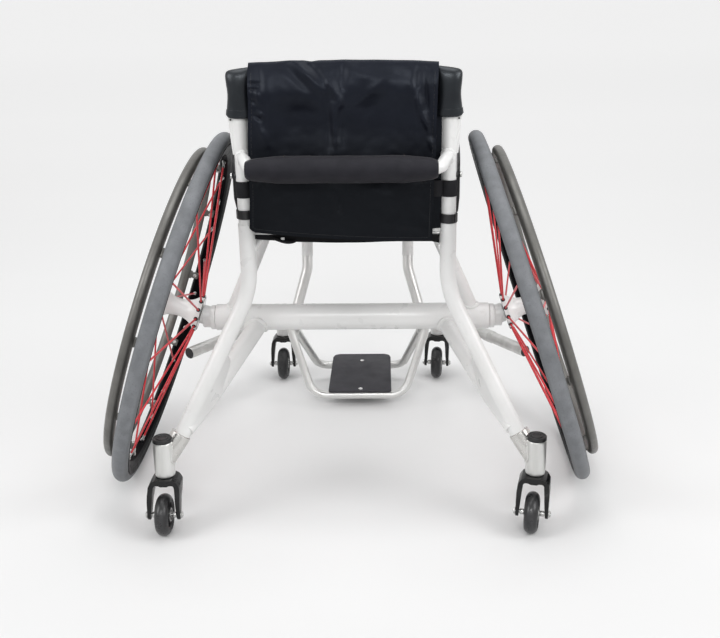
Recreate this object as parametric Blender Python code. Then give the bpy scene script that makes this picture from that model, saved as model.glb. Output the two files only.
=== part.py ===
"""Court wheelchair with steeply cambered wheels, four swivel casters and a sling back.

Metres, +Z up, +Y forward, +X the rider's right. Lengthways places are counted from the axle line
while the chair is built. At the end the whole chair moves so that the origin lies on the floor,
under the middle of its bounding box.
"""
import bpy
import bmesh
from math import acos, atan2, cos, pi, radians, sin, tan
from mathutils import Matrix, Vector

# Clearances
FIT = 0.0003
SLIDE_FIT = 0.0004
RUNNING_FIT = 0.0004

# Rear wheels
TYRE_HEIGHT = 0.0205
TYRE_WIDTH = 0.025
CAMBER = radians(18.3)
WHEEL_STANDOUT = 0.0441572
RIM_WIDTH = 0.021
RIM_OUTER_RADIUS = 0.2845
RIM_DEPTH = 0.021
RIM_WELL_DEPTH = 0.005
RIM_FLANGE = 0.0022
RIM_INNER_WIDTH = 0.012
SPOKE_BAND_WIDTH = 0.0060
SPOKE_BAND_THICKNESS = 0.0018
WHEEL_SIDES = 40

# Hand rims
HANDRIM_DROP = 0.0229
HANDRIM_OFFSET = 0.0269
HANDRIM_TUBE = 0.0195
HANDRIM_SIDES = 36
TAB_COUNT = 12
TAB_WIDTH = 0.012
TAB_THICKNESS = 0.0025

# Hubs and spokes
SPOKES_PER_FLANGE = 12
SPOKE_DIAMETER = 0.0028
SPOKE_SIDES = 4
INNER_FLANGE = -0.0379
OUTER_FLANGE = 0.030
FLANGE_RADIUS = 0.0300
FLANGE_WIDTH = 0.0075
HUB_WAIST_RADIUS = 0.0110
HUB_WAIST_LENGTH = 0.022
HUB_NOSE_RADIUS = 0.0165
HUB_NOSE_LENGTH = 0.008

# Quick release axles
AXLE_DIAMETER = 0.0127
AXLE_GRIP = 0.034
AXLE_HEAD_RADIUS = 0.0095
AXLE_HEAD_THICKNESS = 0.0035
BUTTON_DIAMETER = 0.0070
BUTTON_PROUD = 0.0035
BUTTON_DEPTH = 0.008
BUTTON_TRAVEL = 0.002

# Camber tube and its ends
CAMBER_TUBE_DIAMETER = 0.04445
CAMBER_TUBE_WALL = 0.0025
CAMBER_TUBE_HALF_LENGTH = 0.231
CAMBER_TUBE_DROP = 0.0202070
COLLAR_RING_DIAMETER = 0.0410
COLLAR_RING_WIDTH = 0.0092
PLUG_DIAMETER = 0.0350
PLUG_REACH = 0.0225
PLUG_INSERT = 0.060
PLUG_BOSS_RADIUS = 0.0092

# Frame tubes
FRAME_TUBE = 0.0250
BRACE_TUBE = 0.0286
POST_X = 0.1540
POST_Y = -0.120
POST_ABOVE_SEAT = 0.0385
POST_BEND_HEIGHT = 0.360
POST_BEND_RADIUS = 0.120
BRACE_START_X = 0.162
BRACE_START_DROP = 0.008
BRACE_MEETS_POST = 0.873
STRUT_FOOT_X = 0.2030
SEAT_REAR_HEIGHT = 0.428
SEAT_FRONT_HEIGHT = 0.456
SEAT_FRONT_Y = 0.333
RAIL_FRONT_X = 0.0985
RAIL_BEND_RADIUS = 0.060
LEG_SLOPE = 0.293
SOCKET_HEIGHT = 0.292
SOCKET_DEPTH = 0.070
FRONT_RAIL_START_X = 0.148
FRONT_RAIL_TUBE = 0.0254

# Casters
CASTER_WHEEL_RADIUS = 0.033
CASTER_WHEEL_WIDTH = 0.022
CASTER_CORE_RADIUS = 0.0235
CASTER_CORE_WIDTH = 0.0150
CASTER_WEB_WIDTH = 0.0060
CASTER_HUB_RADIUS = 0.0085
CASTER_TRAIL = 0.030
REAR_CASTER_X = 0.2895
REAR_CASTER_Y = -0.215
FRONT_CASTER_X = 0.1635
FRONT_CASTER_Y = 0.3855
BARREL_DIAMETER = 0.0300
BARREL_FOOT = 0.088
BARREL_LENGTH = 0.058
BARREL_DOME = 0.0065
STEM_DIAMETER = 0.0120
STEM_LENGTH = 0.046
FORK_WIDTH = 0.0510
FORK_GAP = 0.0380
FORK_CROWN = 0.0105
FORK_NOSE = 0.0125
FORK_HEEL = 0.022
FORK_BOSS_RADIUS = 0.0075
FORK_SHOULDER = 0.011
CASTER_BOLT_DIAMETER = 0.006
CASTER_BOLT_HEAD = 0.0105
CASTER_BOLT_HEAD_THICKNESS = 0.0042
CASTER_SPACER_DIAMETER = 0.0090
SLEEVE_DIAMETER = 0.0325
SLEEVE_TOP = Vector((0.2657, -0.199, 0.1456))
SLEEVE_FOOT_HEIGHT = 0.109
SLEEVE_FOOT_DIAMETER = 0.0285
SLEEVE_OVERRUN = 0.003
SLEEVE_INSERT = 0.015
SWIVEL_AT_REST = {"rear_left": 0.0, "rear_right": radians(-12.7), "front_left": 0.0, "front_right": radians(-6.0)}

# Wing tubes
WING_TUBE = 0.0190
WING_HEIGHT_AT_BARREL = 0.131
WING_END = Vector((0.3217, 0.156, 0.138))
WING_JOINT_SHARE = 0.62
WING_SLEEVE_WALL = 0.0010
WING_SLEEVE_LENGTH = 0.022

# Footrest
LEG_TUBE = 0.0200
LOOP_TUBE = 0.0160
LEG_KNEE_HEIGHT = 0.268
LEG_FOOT_HEIGHT = 0.170
LEG_FOOT_X = 0.1272
LOOP_INSERT = 0.020
LOOP_ELBOW_RUN = 0.0215
LOOP_LOW_X = 0.0905
LOOP_LOW_HEIGHT = 0.0272
LOOP_CORNER_RADIUS = 0.037
FAR_LOOP_CORNER_RADIUS = 0.029
FAR_LOOP_LOW_Y = 0.342
FAR_LOOP_LOW_HEIGHT = 0.034
FAR_LOOP_CORNER_X = 0.0880
PLATE_THICKNESS = 0.0045
PLATE_WIDTH = 0.124
PLATE_LENGTH = 0.168
PLATE_OVERHANG = 0.008
PLATE_SHIFT = 0.0025
PLATE_CORNER = 0.012

# Backrest
CANE_DIAMETER = 0.0226
CANE_RISE = 0.2175
CANE_INSERT = 0.055
CANE_STRAIGHT = 0.016
CANE_SPREAD = 0.0
CANE_BEND_RADIUS = 0.20
CANE_COLLAR_DIAMETER = 0.0280
CANE_COLLAR_HEIGHT = 0.0135
CANE_COLLAR_RISE = {"left": 0.0090, "right": 0.0010}
FIN_TOP_RISE = 0.1675
FIN_FOOT_RISE = 0.1055
FIN_FOOT_REACH = 0.002
FIN_REACH = 0.0070
FIN_THICKNESS = 0.006
BAR_DIAMETER = 0.0190
BAR_RISE = 0.0935
BAR_END_RISE = 0.011
BAR_BOW = 0.054
BAR_END_RUN = 0.016
BAR_BEND_RADIUS = 0.022
PAD_DIAMETER = 0.0370
PAD_HALF_LENGTH = 0.1393
PAD_SHIFT = -0.0037
PAD_SIDES = 12
BACK_TOP_RISE = 0.2355
BACK_FOOT_RISE = -0.0085
BACK_HALF_WIDTH = 0.1363
BACK_THICKNESS = 0.005
BACK_TOP_EDGE_Y = -0.122
BACK_TOP_MIDDLE_Y = -0.131
BACK_PAD_EDGE_Y = -0.117
BACK_BOTTOM_EDGE_Y = -0.133
BACK_BOTTOM_MIDDLE_Y = -0.160
BACK_TOP_FOLD = 0.0110
SLEEVE_FOOT_RISE = 0.1615
SLEEVE_WALL = 0.0048
GUARD_THICKNESS = 0.003
GUARD_STANDOFF = 0.0024
GUARD_REAR_Y = -0.118
GUARD_FRONT_Y = 0.185
GUARD_FOOT_RISE = 0.0385
GUARD_SHOULDER_RISE = 0.0995
GUARD_TOP_RISE = 0.1335
GUARD_BROW_DROP = 0.015
GUARD_NOSE_DROP = 0.070
GUARD_NOSE_RUN = 0.025
GUARD_LOW_RISE = -0.0085
GUARD_BOLT_RISE = 0.0735
GUARD_BOLT_DIAMETER = 0.010

# Seat sling
SEAT_THICKNESS = 0.006
SEAT_SAG = 0.004
SEAT_REAR_Y = -0.118
SEAT_MIDDLE_Y = 0.08
SEAT_FRONT_EDGE = 0.262
SEAT_EDGE = 0.006

# Facets
TUBE_SIDES = 12
BARREL_SIDES = 16
HUB_SIDES = 16
SMALL_SIDES = 10
CASTER_SIDES = 20
BOLT_SIDES = 8

# Sizes that follow from others: the wheels from their rims, the frame's tube from the wheels
# and the whole back from the seat
WHEEL_RADIUS = RIM_OUTER_RADIUS + TYRE_HEIGHT
HANDRIM_RADIUS = RIM_OUTER_RADIUS - HANDRIM_DROP
crown_radius = WHEEL_RADIUS - TYRE_WIDTH / 2
wheel_height = crown_radius * cos(CAMBER) + TYRE_WIDTH / 2
CAMBER_TUBE_HEIGHT = wheel_height - CAMBER_TUBE_DROP
PLUG_END = CAMBER_TUBE_HALF_LENGTH + PLUG_REACH
BRACE_START_HEIGHT = CAMBER_TUBE_HEIGHT - BRACE_START_DROP
POST_TOP = SEAT_REAR_HEIGHT + POST_ABOVE_SEAT
CANE_TOP = POST_TOP + CANE_RISE
FIN_TOP = POST_TOP + FIN_TOP_RISE
FIN_BOTTOM = POST_TOP + FIN_FOOT_RISE
BAR_HEIGHT = POST_TOP + BAR_RISE
BACK_TOP = POST_TOP + BACK_TOP_RISE
BACK_BOTTOM = POST_TOP + BACK_FOOT_RISE
SLEEVE_BOTTOM = POST_TOP + SLEEVE_FOOT_RISE
GUARD_FOOT = POST_TOP + GUARD_FOOT_RISE
GUARD_SHOULDER = POST_TOP + GUARD_SHOULDER_RISE
GUARD_TOP = POST_TOP + GUARD_TOP_RISE
GUARD_LOW = POST_TOP + GUARD_LOW_RISE
GUARD_BOLT_HEIGHT = POST_TOP + GUARD_BOLT_RISE

for leftover in list(bpy.data.objects):
    bpy.data.objects.remove(leftover, do_unlink=True)


# Materials

def material(name, colour, roughness, metallic=0.0):
    """A Principled material with the part's own colour."""
    made = bpy.data.materials.new(name)
    made.use_nodes = True
    shader = made.node_tree.nodes["Principled BSDF"]
    shader.inputs["Base Color"].default_value = (*colour, 1.0)
    shader.inputs["Roughness"].default_value = roughness
    shader.inputs["Metallic"].default_value = metallic
    return made


WHITE_PAINT = material("white_paint", (0.80, 0.80, 0.79), 0.30)
BARE_ALUMINIUM = material("bare_aluminium", (0.66, 0.65, 0.63), 0.28, 1.0)
DARK_ANODISED = material("dark_anodised", (0.13, 0.13, 0.12), 0.45, 0.8)
GREY_TYRE = material("grey_tyre", (0.21, 0.23, 0.26), 0.70)
BLACK_METAL = material("black_metal", (0.012, 0.012, 0.014), 0.35, 0.4)
BLACK_PLASTIC = material("black_plastic", (0.015, 0.015, 0.017), 0.50)
CASTER_RUBBER = material("caster_rubber", (0.03, 0.03, 0.032), 0.50)
RED_FIBRE = material("red_fibre", (0.55, 0.02, 0.025), 0.40)
BLACK_FABRIC = material("black_fabric", (0.018, 0.019, 0.026), 0.60)
BLACK_FOAM = material("black_foam", (0.022, 0.022, 0.025), 0.80)
STEEL = material("steel", (0.55, 0.55, 0.56), 0.25, 1.0)


# Shared ways of making a shape

chair = bpy.data.objects.new("chair", None)
bpy.context.collection.objects.link(chair)


def holder(name, location, rotation=(0.0, 0.0, 0.0), parent=chair):
    """An empty that carries the pieces of one moving group."""
    empty = bpy.data.objects.new(name, None)
    bpy.context.collection.objects.link(empty)
    empty.location = location
    empty.rotation_euler = rotation
    empty.parent = parent
    return empty


def piece(name, shape, finish, parent=chair, smooth=True):
    """Turns a bmesh into a named object with one material."""
    bmesh.ops.remove_doubles(shape, verts=shape.verts, dist=0.00001)
    bmesh.ops.recalc_face_normals(shape, faces=shape.faces)
    mesh = bpy.data.meshes.new(name)
    shape.to_mesh(mesh)
    shape.free()
    if smooth:
        mesh.shade_smooth()
        mesh.set_sharp_from_angle(angle=radians(35))
    mesh.materials.append(finish)
    made = bpy.data.objects.new(name, mesh)
    bpy.context.collection.objects.link(made)
    made.parent = parent
    return made


def boolean(target, tool, operation):
    """Cuts or joins a tool shape; the tool stays as a hidden guide."""
    tool.hide_render = True
    tool.display_type = "WIRE"
    modifier = target.modifiers.new(operation.lower(), "BOOLEAN")
    modifier.operation = operation
    modifier.solver = "EXACT"
    modifier.object = tool


def cutter(name, shape, target):
    """A hidden tool that takes its shape out of the target."""
    tool = piece(name + "_cutter", shape, BLACK_PLASTIC, target.parent, smooth=False)
    boolean(target, tool, "DIFFERENCE")


def addition(name, shape, target):
    """A hidden tool whose shape is welded onto the target."""
    tool = piece(name + "_addition", shape, target.data.materials[0], target.parent, smooth=False)
    boolean(target, tool, "UNION")


def turned(outline, sides, axis="X"):
    """Spins a closed outline of (along, radius) points about an axis through the origin."""
    shape = bmesh.new()
    if axis == "X":
        corners = [shape.verts.new((along, 0.0, radius)) for along, radius in outline]
        around = (1.0, 0.0, 0.0)
    else:
        corners = [shape.verts.new((radius, 0.0, along)) for along, radius in outline]
        around = (0.0, 0.0, 1.0)
    edges = [shape.edges.new((a, b)) for a, b in zip(corners, corners[1:] + corners[:1])]
    bmesh.ops.spin(shape, geom=corners + edges, cent=(0, 0, 0), axis=around,
                   angle=2 * pi, steps=sides, use_duplicate=False)
    bmesh.ops.remove_doubles(shape, verts=shape.verts, dist=0.00002)
    flat = [edge for edge in shape.edges if not edge.link_faces]
    bmesh.ops.delete(shape, geom=flat, context="EDGES")
    return shape


def outer(radius, sides):
    """Radius of a polygon's corners whose flats lie at the given radius."""
    return radius / cos(pi / sides)


def prism(outline, low, high, axis="X"):
    """Extrudes an outline along an axis: (y, z) points for X, (x, z) for Y and (x, y) for Z."""
    place = {"X": lambda a, b, along: (along, a, b),
             "Y": lambda a, b, along: (a, along, b),
             "Z": lambda a, b, along: (a, b, along)}[axis]
    shape = bmesh.new()
    face = shape.faces.new([shape.verts.new(place(a, b, low)) for a, b in outline])
    grown = bmesh.ops.extrude_face_region(shape, geom=[face])
    moved = [item for item in grown["geom"] if isinstance(item, bmesh.types.BMVert)]
    bmesh.ops.translate(shape, verts=moved, vec=Vector(place(0, 0, high)) - Vector(place(0, 0, low)))
    return shape


def rounded(corners, radius, steps=3):
    """Replaces each inner corner of a route or outline by an arc of the given radius."""
    points = [Vector(p) for p in corners]
    route = [points[0]]
    for before, corner, after in zip(points, points[1:], points[2:]):
        back = (before - corner).normalized()
        ahead = (after - corner).normalized()
        half = acos(max(-1.0, min(1.0, back.dot(ahead)))) / 2
        if half > radians(89.5):
            continue
        setback = min(radius / tan(half), 0.48 * (before - corner).length, 0.48 * (after - corner).length)
        true_radius = setback * tan(half)
        centre = corner + (back + ahead).normalized() * (true_radius / sin(half))
        start = corner + back * setback - centre
        end = corner + ahead * setback - centre
        sweep = start.angle(end)
        for step in range(steps + 1):
            part = step / steps
            arm = (start * sin((1 - part) * sweep) + end * sin(part * sweep)) / sin(sweep)
            route.append(centre + arm)
    route.append(points[-1])
    return route


def tube(route, diameter, sides=TUBE_SIDES):
    """A round bar along a route, with flat ends."""
    curve = bpy.data.curves.new("route", "CURVE")
    curve.dimensions = "3D"
    curve.bevel_depth = diameter / 2
    curve.bevel_resolution = sides // 2 - 2
    curve.use_fill_caps = True
    spline = curve.splines.new("POLY")
    spline.points.add(len(route) - 1)
    for point, place in zip(spline.points, route):
        point.co = (*place, 1.0)
    guide = bpy.data.objects.new("route", curve)
    mesh = bpy.data.meshes.new_from_object(guide)
    shape = bmesh.new()
    shape.from_mesh(mesh)
    bpy.data.objects.remove(guide)
    bpy.data.curves.remove(curve)
    bpy.data.meshes.remove(mesh)
    bmesh.ops.remove_doubles(shape, verts=shape.verts, dist=0.00001)
    return shape


def mirrored(place, side):
    """The same place on the right (+1) or on the left (-1)."""
    return Vector((place[0] * side, place[1], place[2]))


def ring_shape(low, high, inner, radius, sides, axis="X"):
    """A plain ring with a square section."""
    return turned([(low, inner), (low, radius), (high, radius), (high, inner)], sides, axis)


def round_bar(low, high, radius, sides, axis="X"):
    """A plain round bar between two places on an axis."""
    return turned([(low, 0.0), (low, radius), (high, radius), (high, 0.0)], sides, axis)


def moved(shape, x, y, z=0.0):
    """Shifts a whole shape."""
    bmesh.ops.translate(shape, verts=shape.verts, vec=(x, y, z))
    return shape


def joined(*shapes):
    """Puts several separate solids into one bmesh, to cut or weld them in one go."""
    whole = bmesh.new()
    for shape in shapes:
        mesh = bpy.data.meshes.new("joined")
        shape.to_mesh(mesh)
        shape.free()
        whole.from_mesh(mesh)
        bpy.data.meshes.remove(mesh)
    return whole


def lofted(sections):
    """Skins closed sections that all have the same number of points, and caps both ends."""
    shape = bmesh.new()
    rows = [[shape.verts.new(point) for point in section] for section in sections]
    count = len(rows[0])
    for lower, upper in zip(rows, rows[1:]):
        for here in range(count):
            after = (here + 1) % count
            shape.faces.new((lower[here], lower[after], upper[after], upper[here]))
    shape.faces.new(rows[0])
    shape.faces.new(rows[-1])
    return shape


SIDES = {"left": -1, "right": 1}

# Rear wheels, each built about its own axle: X outward, Z up in the plane of the wheel
wheel_x = PLUG_END + WHEEL_STANDOUT
well_radius = RIM_OUTER_RADIUS - RIM_WELL_DEPTH
rim_inner_radius = RIM_OUTER_RADIUS - RIM_DEPTH
band_radius = rim_inner_radius - outer(FIT, WHEEL_SIDES)
hub_inner_face = INNER_FLANGE - FLANGE_WIDTH / 2
hub_nose_face = OUTER_FLANGE + FLANGE_WIDTH / 2 + HUB_NOSE_LENGTH
wheel_holders = {}
for side_name, side in SIDES.items():
    turn = Matrix.Rotation(0.0 if side > 0 else pi, 4, "Z") @ Matrix.Rotation(-CAMBER, 4, "Y")
    wheel_holders[side_name] = holder("wheel_axis_" + side_name, (side * wheel_x, 0.0, wheel_height),
                                      turn.to_euler())


def tyre_outline():
    """Round tyre whose foot drops into the rim's well."""
    foot_half = RIM_WIDTH / 2 - RIM_FLANGE - FIT
    foot_radius = well_radius + FIT
    crown = [CAMBER, radians(58), radians(100)]
    right = [(TYRE_WIDTH / 2 * sin(a), crown_radius + TYRE_WIDTH / 2 * cos(a)) for a in crown]
    right += [(foot_half, RIM_OUTER_RADIUS + FIT), (foot_half, foot_radius)]
    return right + [(-along, radius) for along, radius in reversed(right)]


def rim_outline():
    """Box rim with a shallow well for the tyre between two side flanges."""
    half = RIM_WIDTH / 2
    lip = half - RIM_FLANGE
    shoulder = rim_inner_radius + 0.4 * RIM_DEPTH
    right = [(half, RIM_OUTER_RADIUS), (half, shoulder), (RIM_INNER_WIDTH / 2, rim_inner_radius)]
    left = [(-along, radius) for along, radius in reversed(right)]
    well = [(-lip, RIM_OUTER_RADIUS), (-lip, well_radius), (lip, well_radius), (lip, RIM_OUTER_RADIUS)]
    return right + left + well


def hub_outline():
    """Two spoke flanges on a waisted body, bored through for the axle."""
    bore = outer(AXLE_DIAMETER / 2 + RUNNING_FIT, HUB_SIDES)
    half = FLANGE_WIDTH / 2
    middle = (INNER_FLANGE + OUTER_FLANGE) / 2
    return [
        (hub_inner_face, bore), (hub_inner_face, FLANGE_RADIUS), (INNER_FLANGE + half, FLANGE_RADIUS),
        (middle - HUB_WAIST_LENGTH / 2, HUB_WAIST_RADIUS), (middle + HUB_WAIST_LENGTH / 2, HUB_WAIST_RADIUS),
        (OUTER_FLANGE - half, FLANGE_RADIUS), (OUTER_FLANGE + half, FLANGE_RADIUS),
        (OUTER_FLANGE + half, HUB_NOSE_RADIUS), (hub_nose_face, HUB_NOSE_RADIUS), (hub_nose_face, bore),
    ]


def spokes_shape():
    """Straight radial fibre spokes, half of them to each flange, a pitch apart at the rim."""
    shape = bmesh.new()
    hub_end = FLANGE_RADIUS + 1.5 * FIT
    rim_end = (band_radius - SPOKE_BAND_THICKNESS + band_radius * cos(pi / WHEEL_SIDES)) / 2
    pitch = 2 * pi / (2 * SPOKES_PER_FLANGE)
    for number in range(2 * SPOKES_PER_FLANGE):
        flange = INNER_FLANGE if number % 2 == 0 else OUTER_FLANGE
        angle = number * pitch
        out = Vector((0.0, -sin(angle), cos(angle)))
        start = out * hub_end + Vector((flange, 0.0, 0.0))
        end = out * rim_end
        axis = end - start
        turn = axis.to_track_quat("Z", "Y").to_matrix().to_4x4()
        place = Matrix.Translation((start + end) / 2) @ turn
        bmesh.ops.create_cone(shape, cap_ends=True, segments=SPOKE_SIDES, radius1=SPOKE_DIAMETER / 2,
                              radius2=SPOKE_DIAMETER / 2, depth=axis.length, matrix=place)
    return shape


def spoke_band():
    """The flat band inside the rim that holds the outer ends of all the spokes."""
    half = SPOKE_BAND_WIDTH / 2
    return ring_shape(-half, half, band_radius - SPOKE_BAND_THICKNESS, band_radius, WHEEL_SIDES)


def handrim_shape():
    """Round push rim; its tabs are welded on afterwards."""
    ring = HANDRIM_TUBE / 2
    outline = [(HANDRIM_OFFSET + ring * sin(a), HANDRIM_RADIUS + ring * cos(a))
               for a in (radians(30 + 60 * step) for step in range(6))]
    return turned(outline, HANDRIM_SIDES)


def tab_shape():
    """Flat tabs from the push rim to the underside of the rim, midway between spoke holes."""
    shape = bmesh.new()
    top = rim_inner_radius * cos(pi / WHEEL_SIDES) - FIT
    pitch = 2 * pi / TAB_COUNT
    offset = pitch / 4
    for number in range(TAB_COUNT):
        low_x = SPOKE_BAND_WIDTH / 2 + FIT
        high_x = HANDRIM_OFFSET
        middle = Vector(((low_x + high_x) / 2, 0.0, top - TAB_THICKNESS / 2))
        place = Matrix.Rotation(offset + number * pitch, 4, "X") @ Matrix.Translation(middle)
        made = bmesh.ops.create_cube(shape, size=1.0)
        size = Matrix.Diagonal((high_x - low_x, TAB_WIDTH, TAB_THICKNESS, 1.0))
        bmesh.ops.transform(shape, matrix=place @ size, verts=made["verts"])
    return shape


for side_name, axis in wheel_holders.items():
    piece("tyre_" + side_name, turned(tyre_outline(), WHEEL_SIDES), GREY_TYRE, axis)
    piece("rim_" + side_name, turned(rim_outline(), WHEEL_SIDES), BLACK_METAL, axis)
    spokes = piece("spokes_" + side_name, spoke_band(), RED_FIBRE, axis)
    addition("spoke_rods_" + side_name, spokes_shape(), spokes)
    piece("hub_" + side_name, turned(hub_outline(), HUB_SIDES), WHITE_PAINT, axis)
    handrim = piece("handrim_" + side_name, handrim_shape(), DARK_ANODISED, axis)
    addition("tabs_" + side_name, tab_shape(), handrim)

# Quick release axles: a pin from the hub's nose into the camber plug, with a push button
axle_inner_end = hub_inner_face - AXLE_GRIP
axle_outer_end = hub_nose_face + RUNNING_FIT + AXLE_HEAD_THICKNESS
button_radius = BUTTON_DIAMETER / 2
for side_name, axis in wheel_holders.items():
    pin = AXLE_DIAMETER / 2
    head_inner = hub_nose_face + RUNNING_FIT
    well = outer(button_radius + SLIDE_FIT, SMALL_SIDES)
    well_end = axle_outer_end - BUTTON_DEPTH - BUTTON_TRAVEL
    outline = [
        (axle_inner_end, 0.0), (axle_inner_end, pin * 0.8), (axle_inner_end + pin * 0.4, pin),
        (head_inner, pin), (head_inner, AXLE_HEAD_RADIUS), (axle_outer_end, AXLE_HEAD_RADIUS),
        (axle_outer_end, well), (well_end, well), (well_end, 0.0),
    ]
    piece("axle_" + side_name, turned(outline, SMALL_SIDES), STEEL, axis)
    inner_end = axle_outer_end - BUTTON_DEPTH
    outline = [(inner_end, 0.0), (inner_end, button_radius),
               (axle_outer_end + BUTTON_PROUD * 0.7, button_radius),
               (axle_outer_end + BUTTON_PROUD, button_radius * 0.6), (axle_outer_end + BUTTON_PROUD, 0.0)]
    piece("axle_button_" + side_name, turned(outline, SMALL_SIDES), BLACK_PLASTIC, axis)

# Camber tube with a collar ring and a cambered plug in each end
tube_radius = CAMBER_TUBE_DIAMETER / 2
tube_bore = tube_radius - CAMBER_TUBE_WALL
tube_axis = holder("camber_tube_axis", (0.0, 0.0, CAMBER_TUBE_HEIGHT))
camber_sides = 24
piece("camber_tube", ring_shape(-CAMBER_TUBE_HALF_LENGTH, CAMBER_TUBE_HALF_LENGTH,
                                tube_bore, tube_radius, camber_sides), WHITE_PAINT, tube_axis)
ring_start = CAMBER_TUBE_HALF_LENGTH + FIT
ring_end = ring_start + COLLAR_RING_WIDTH
ring_bore = PLUG_DIAMETER / 2 + FIT
for side_name, side in SIDES.items():
    low, high = sorted((side * ring_start, side * ring_end))
    piece("camber_collar_" + side_name, ring_shape(low, high, ring_bore, COLLAR_RING_DIAMETER / 2, camber_sides),
          WHITE_PAINT, tube_axis)


def axle_bar(side, low, high, radius, sides):
    """A bar along one wheel's axle, between two distances from the middle of that wheel."""
    shape = round_bar(low, high, radius, sides)
    axis = wheel_holders["right" if side > 0 else "left"]
    place = Matrix.Translation(axis.location) @ axis.rotation_euler.to_matrix().to_4x4()
    bmesh.ops.transform(shape, matrix=Matrix.Translation((0, 0, -CAMBER_TUBE_HEIGHT)) @ place,
                        verts=shape.verts)
    return shape


for side_name, side in SIDES.items():
    body = PLUG_DIAMETER / 2
    insert = tube_bore - FIT
    shoulder = side * (CAMBER_TUBE_HALF_LENGTH - 4 * FIT)
    start = side * (CAMBER_TUBE_HALF_LENGTH - PLUG_INSERT)
    finish = side * PLUG_END
    outline = [(start, 0.0), (start, insert), (shoulder, insert), (shoulder, body), (finish, body), (finish, 0.0)]
    plug = piece("camber_plug_" + side_name, turned(outline, camber_sides), BARE_ALUMINIUM, tube_axis)
    boss = axle_bar(side, hub_inner_face - AXLE_GRIP / 2, hub_inner_face - RUNNING_FIT, PLUG_BOSS_RADIUS,
                    BARREL_SIDES)
    addition("plug_boss_" + side_name, boss, plug)
    hole = outer(AXLE_DIAMETER / 2 + SLIDE_FIT, SMALL_SIDES)
    bore = axle_bar(side, axle_inner_end - SLIDE_FIT, hub_inner_face + HUB_NOSE_LENGTH, hole, SMALL_SIDES)
    cutter("plug_bore_" + side_name, bore, plug)

# Main frame tubes, left and right
sleeve_foot = Vector((REAR_CASTER_X, REAR_CASTER_Y, SLEEVE_FOOT_HEIGHT))
sleeve_way = (sleeve_foot - SLEEVE_TOP).normalized()
post_bend = Vector((POST_X, POST_Y, POST_BEND_HEIGHT))
post_run = SLEEVE_TOP - post_bend
cane_bottom = POST_TOP - CANE_INSERT
post_bore_bottom = cane_bottom - 0.02
brace_foot = post_bend + post_run * BRACE_MEETS_POST
rail_front = Vector((RAIL_FRONT_X, SEAT_FRONT_Y, SEAT_FRONT_HEIGHT))
rail_rear = Vector((POST_X - 0.002, POST_Y, SEAT_REAR_HEIGHT))
rail_run = rail_front - rail_rear


def on_leg(height, x):
    """A place in the sloping plane of the legs and of the near footrest loop."""
    return Vector((x, SEAT_FRONT_Y + (height - SEAT_FRONT_HEIGHT) * LEG_SLOPE, height))


def on_rail(y):
    """A place on the seat rail's centre line."""
    return rail_rear + rail_run * ((y - rail_rear.y) / rail_run.y)


def post_route(side, insert):
    """A rear post from its top to its end in the caster housing's sleeve."""
    route = rounded([(POST_X, POST_Y, POST_TOP), post_bend, SLEEVE_TOP], POST_BEND_RADIUS, 4)
    return [mirrored(p, side) for p in route + [SLEEVE_TOP + sleeve_way * insert]]


def cross_cutter(name, target, low, high, radius, sides=camber_sides):
    """Copes a tube's end to sit on the camber tube."""
    cutter(name, moved(round_bar(low, high, radius, sides), 0.0, 0.0, CAMBER_TUBE_HEIGHT), target)


def tube_cutter(name, target, route, diameter, sides=TUBE_SIDES):
    """Copes a tube's end to another tube."""
    cutter(name, tube(route, diameter + 2 * outer(FIT, sides), sides), target)


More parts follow.
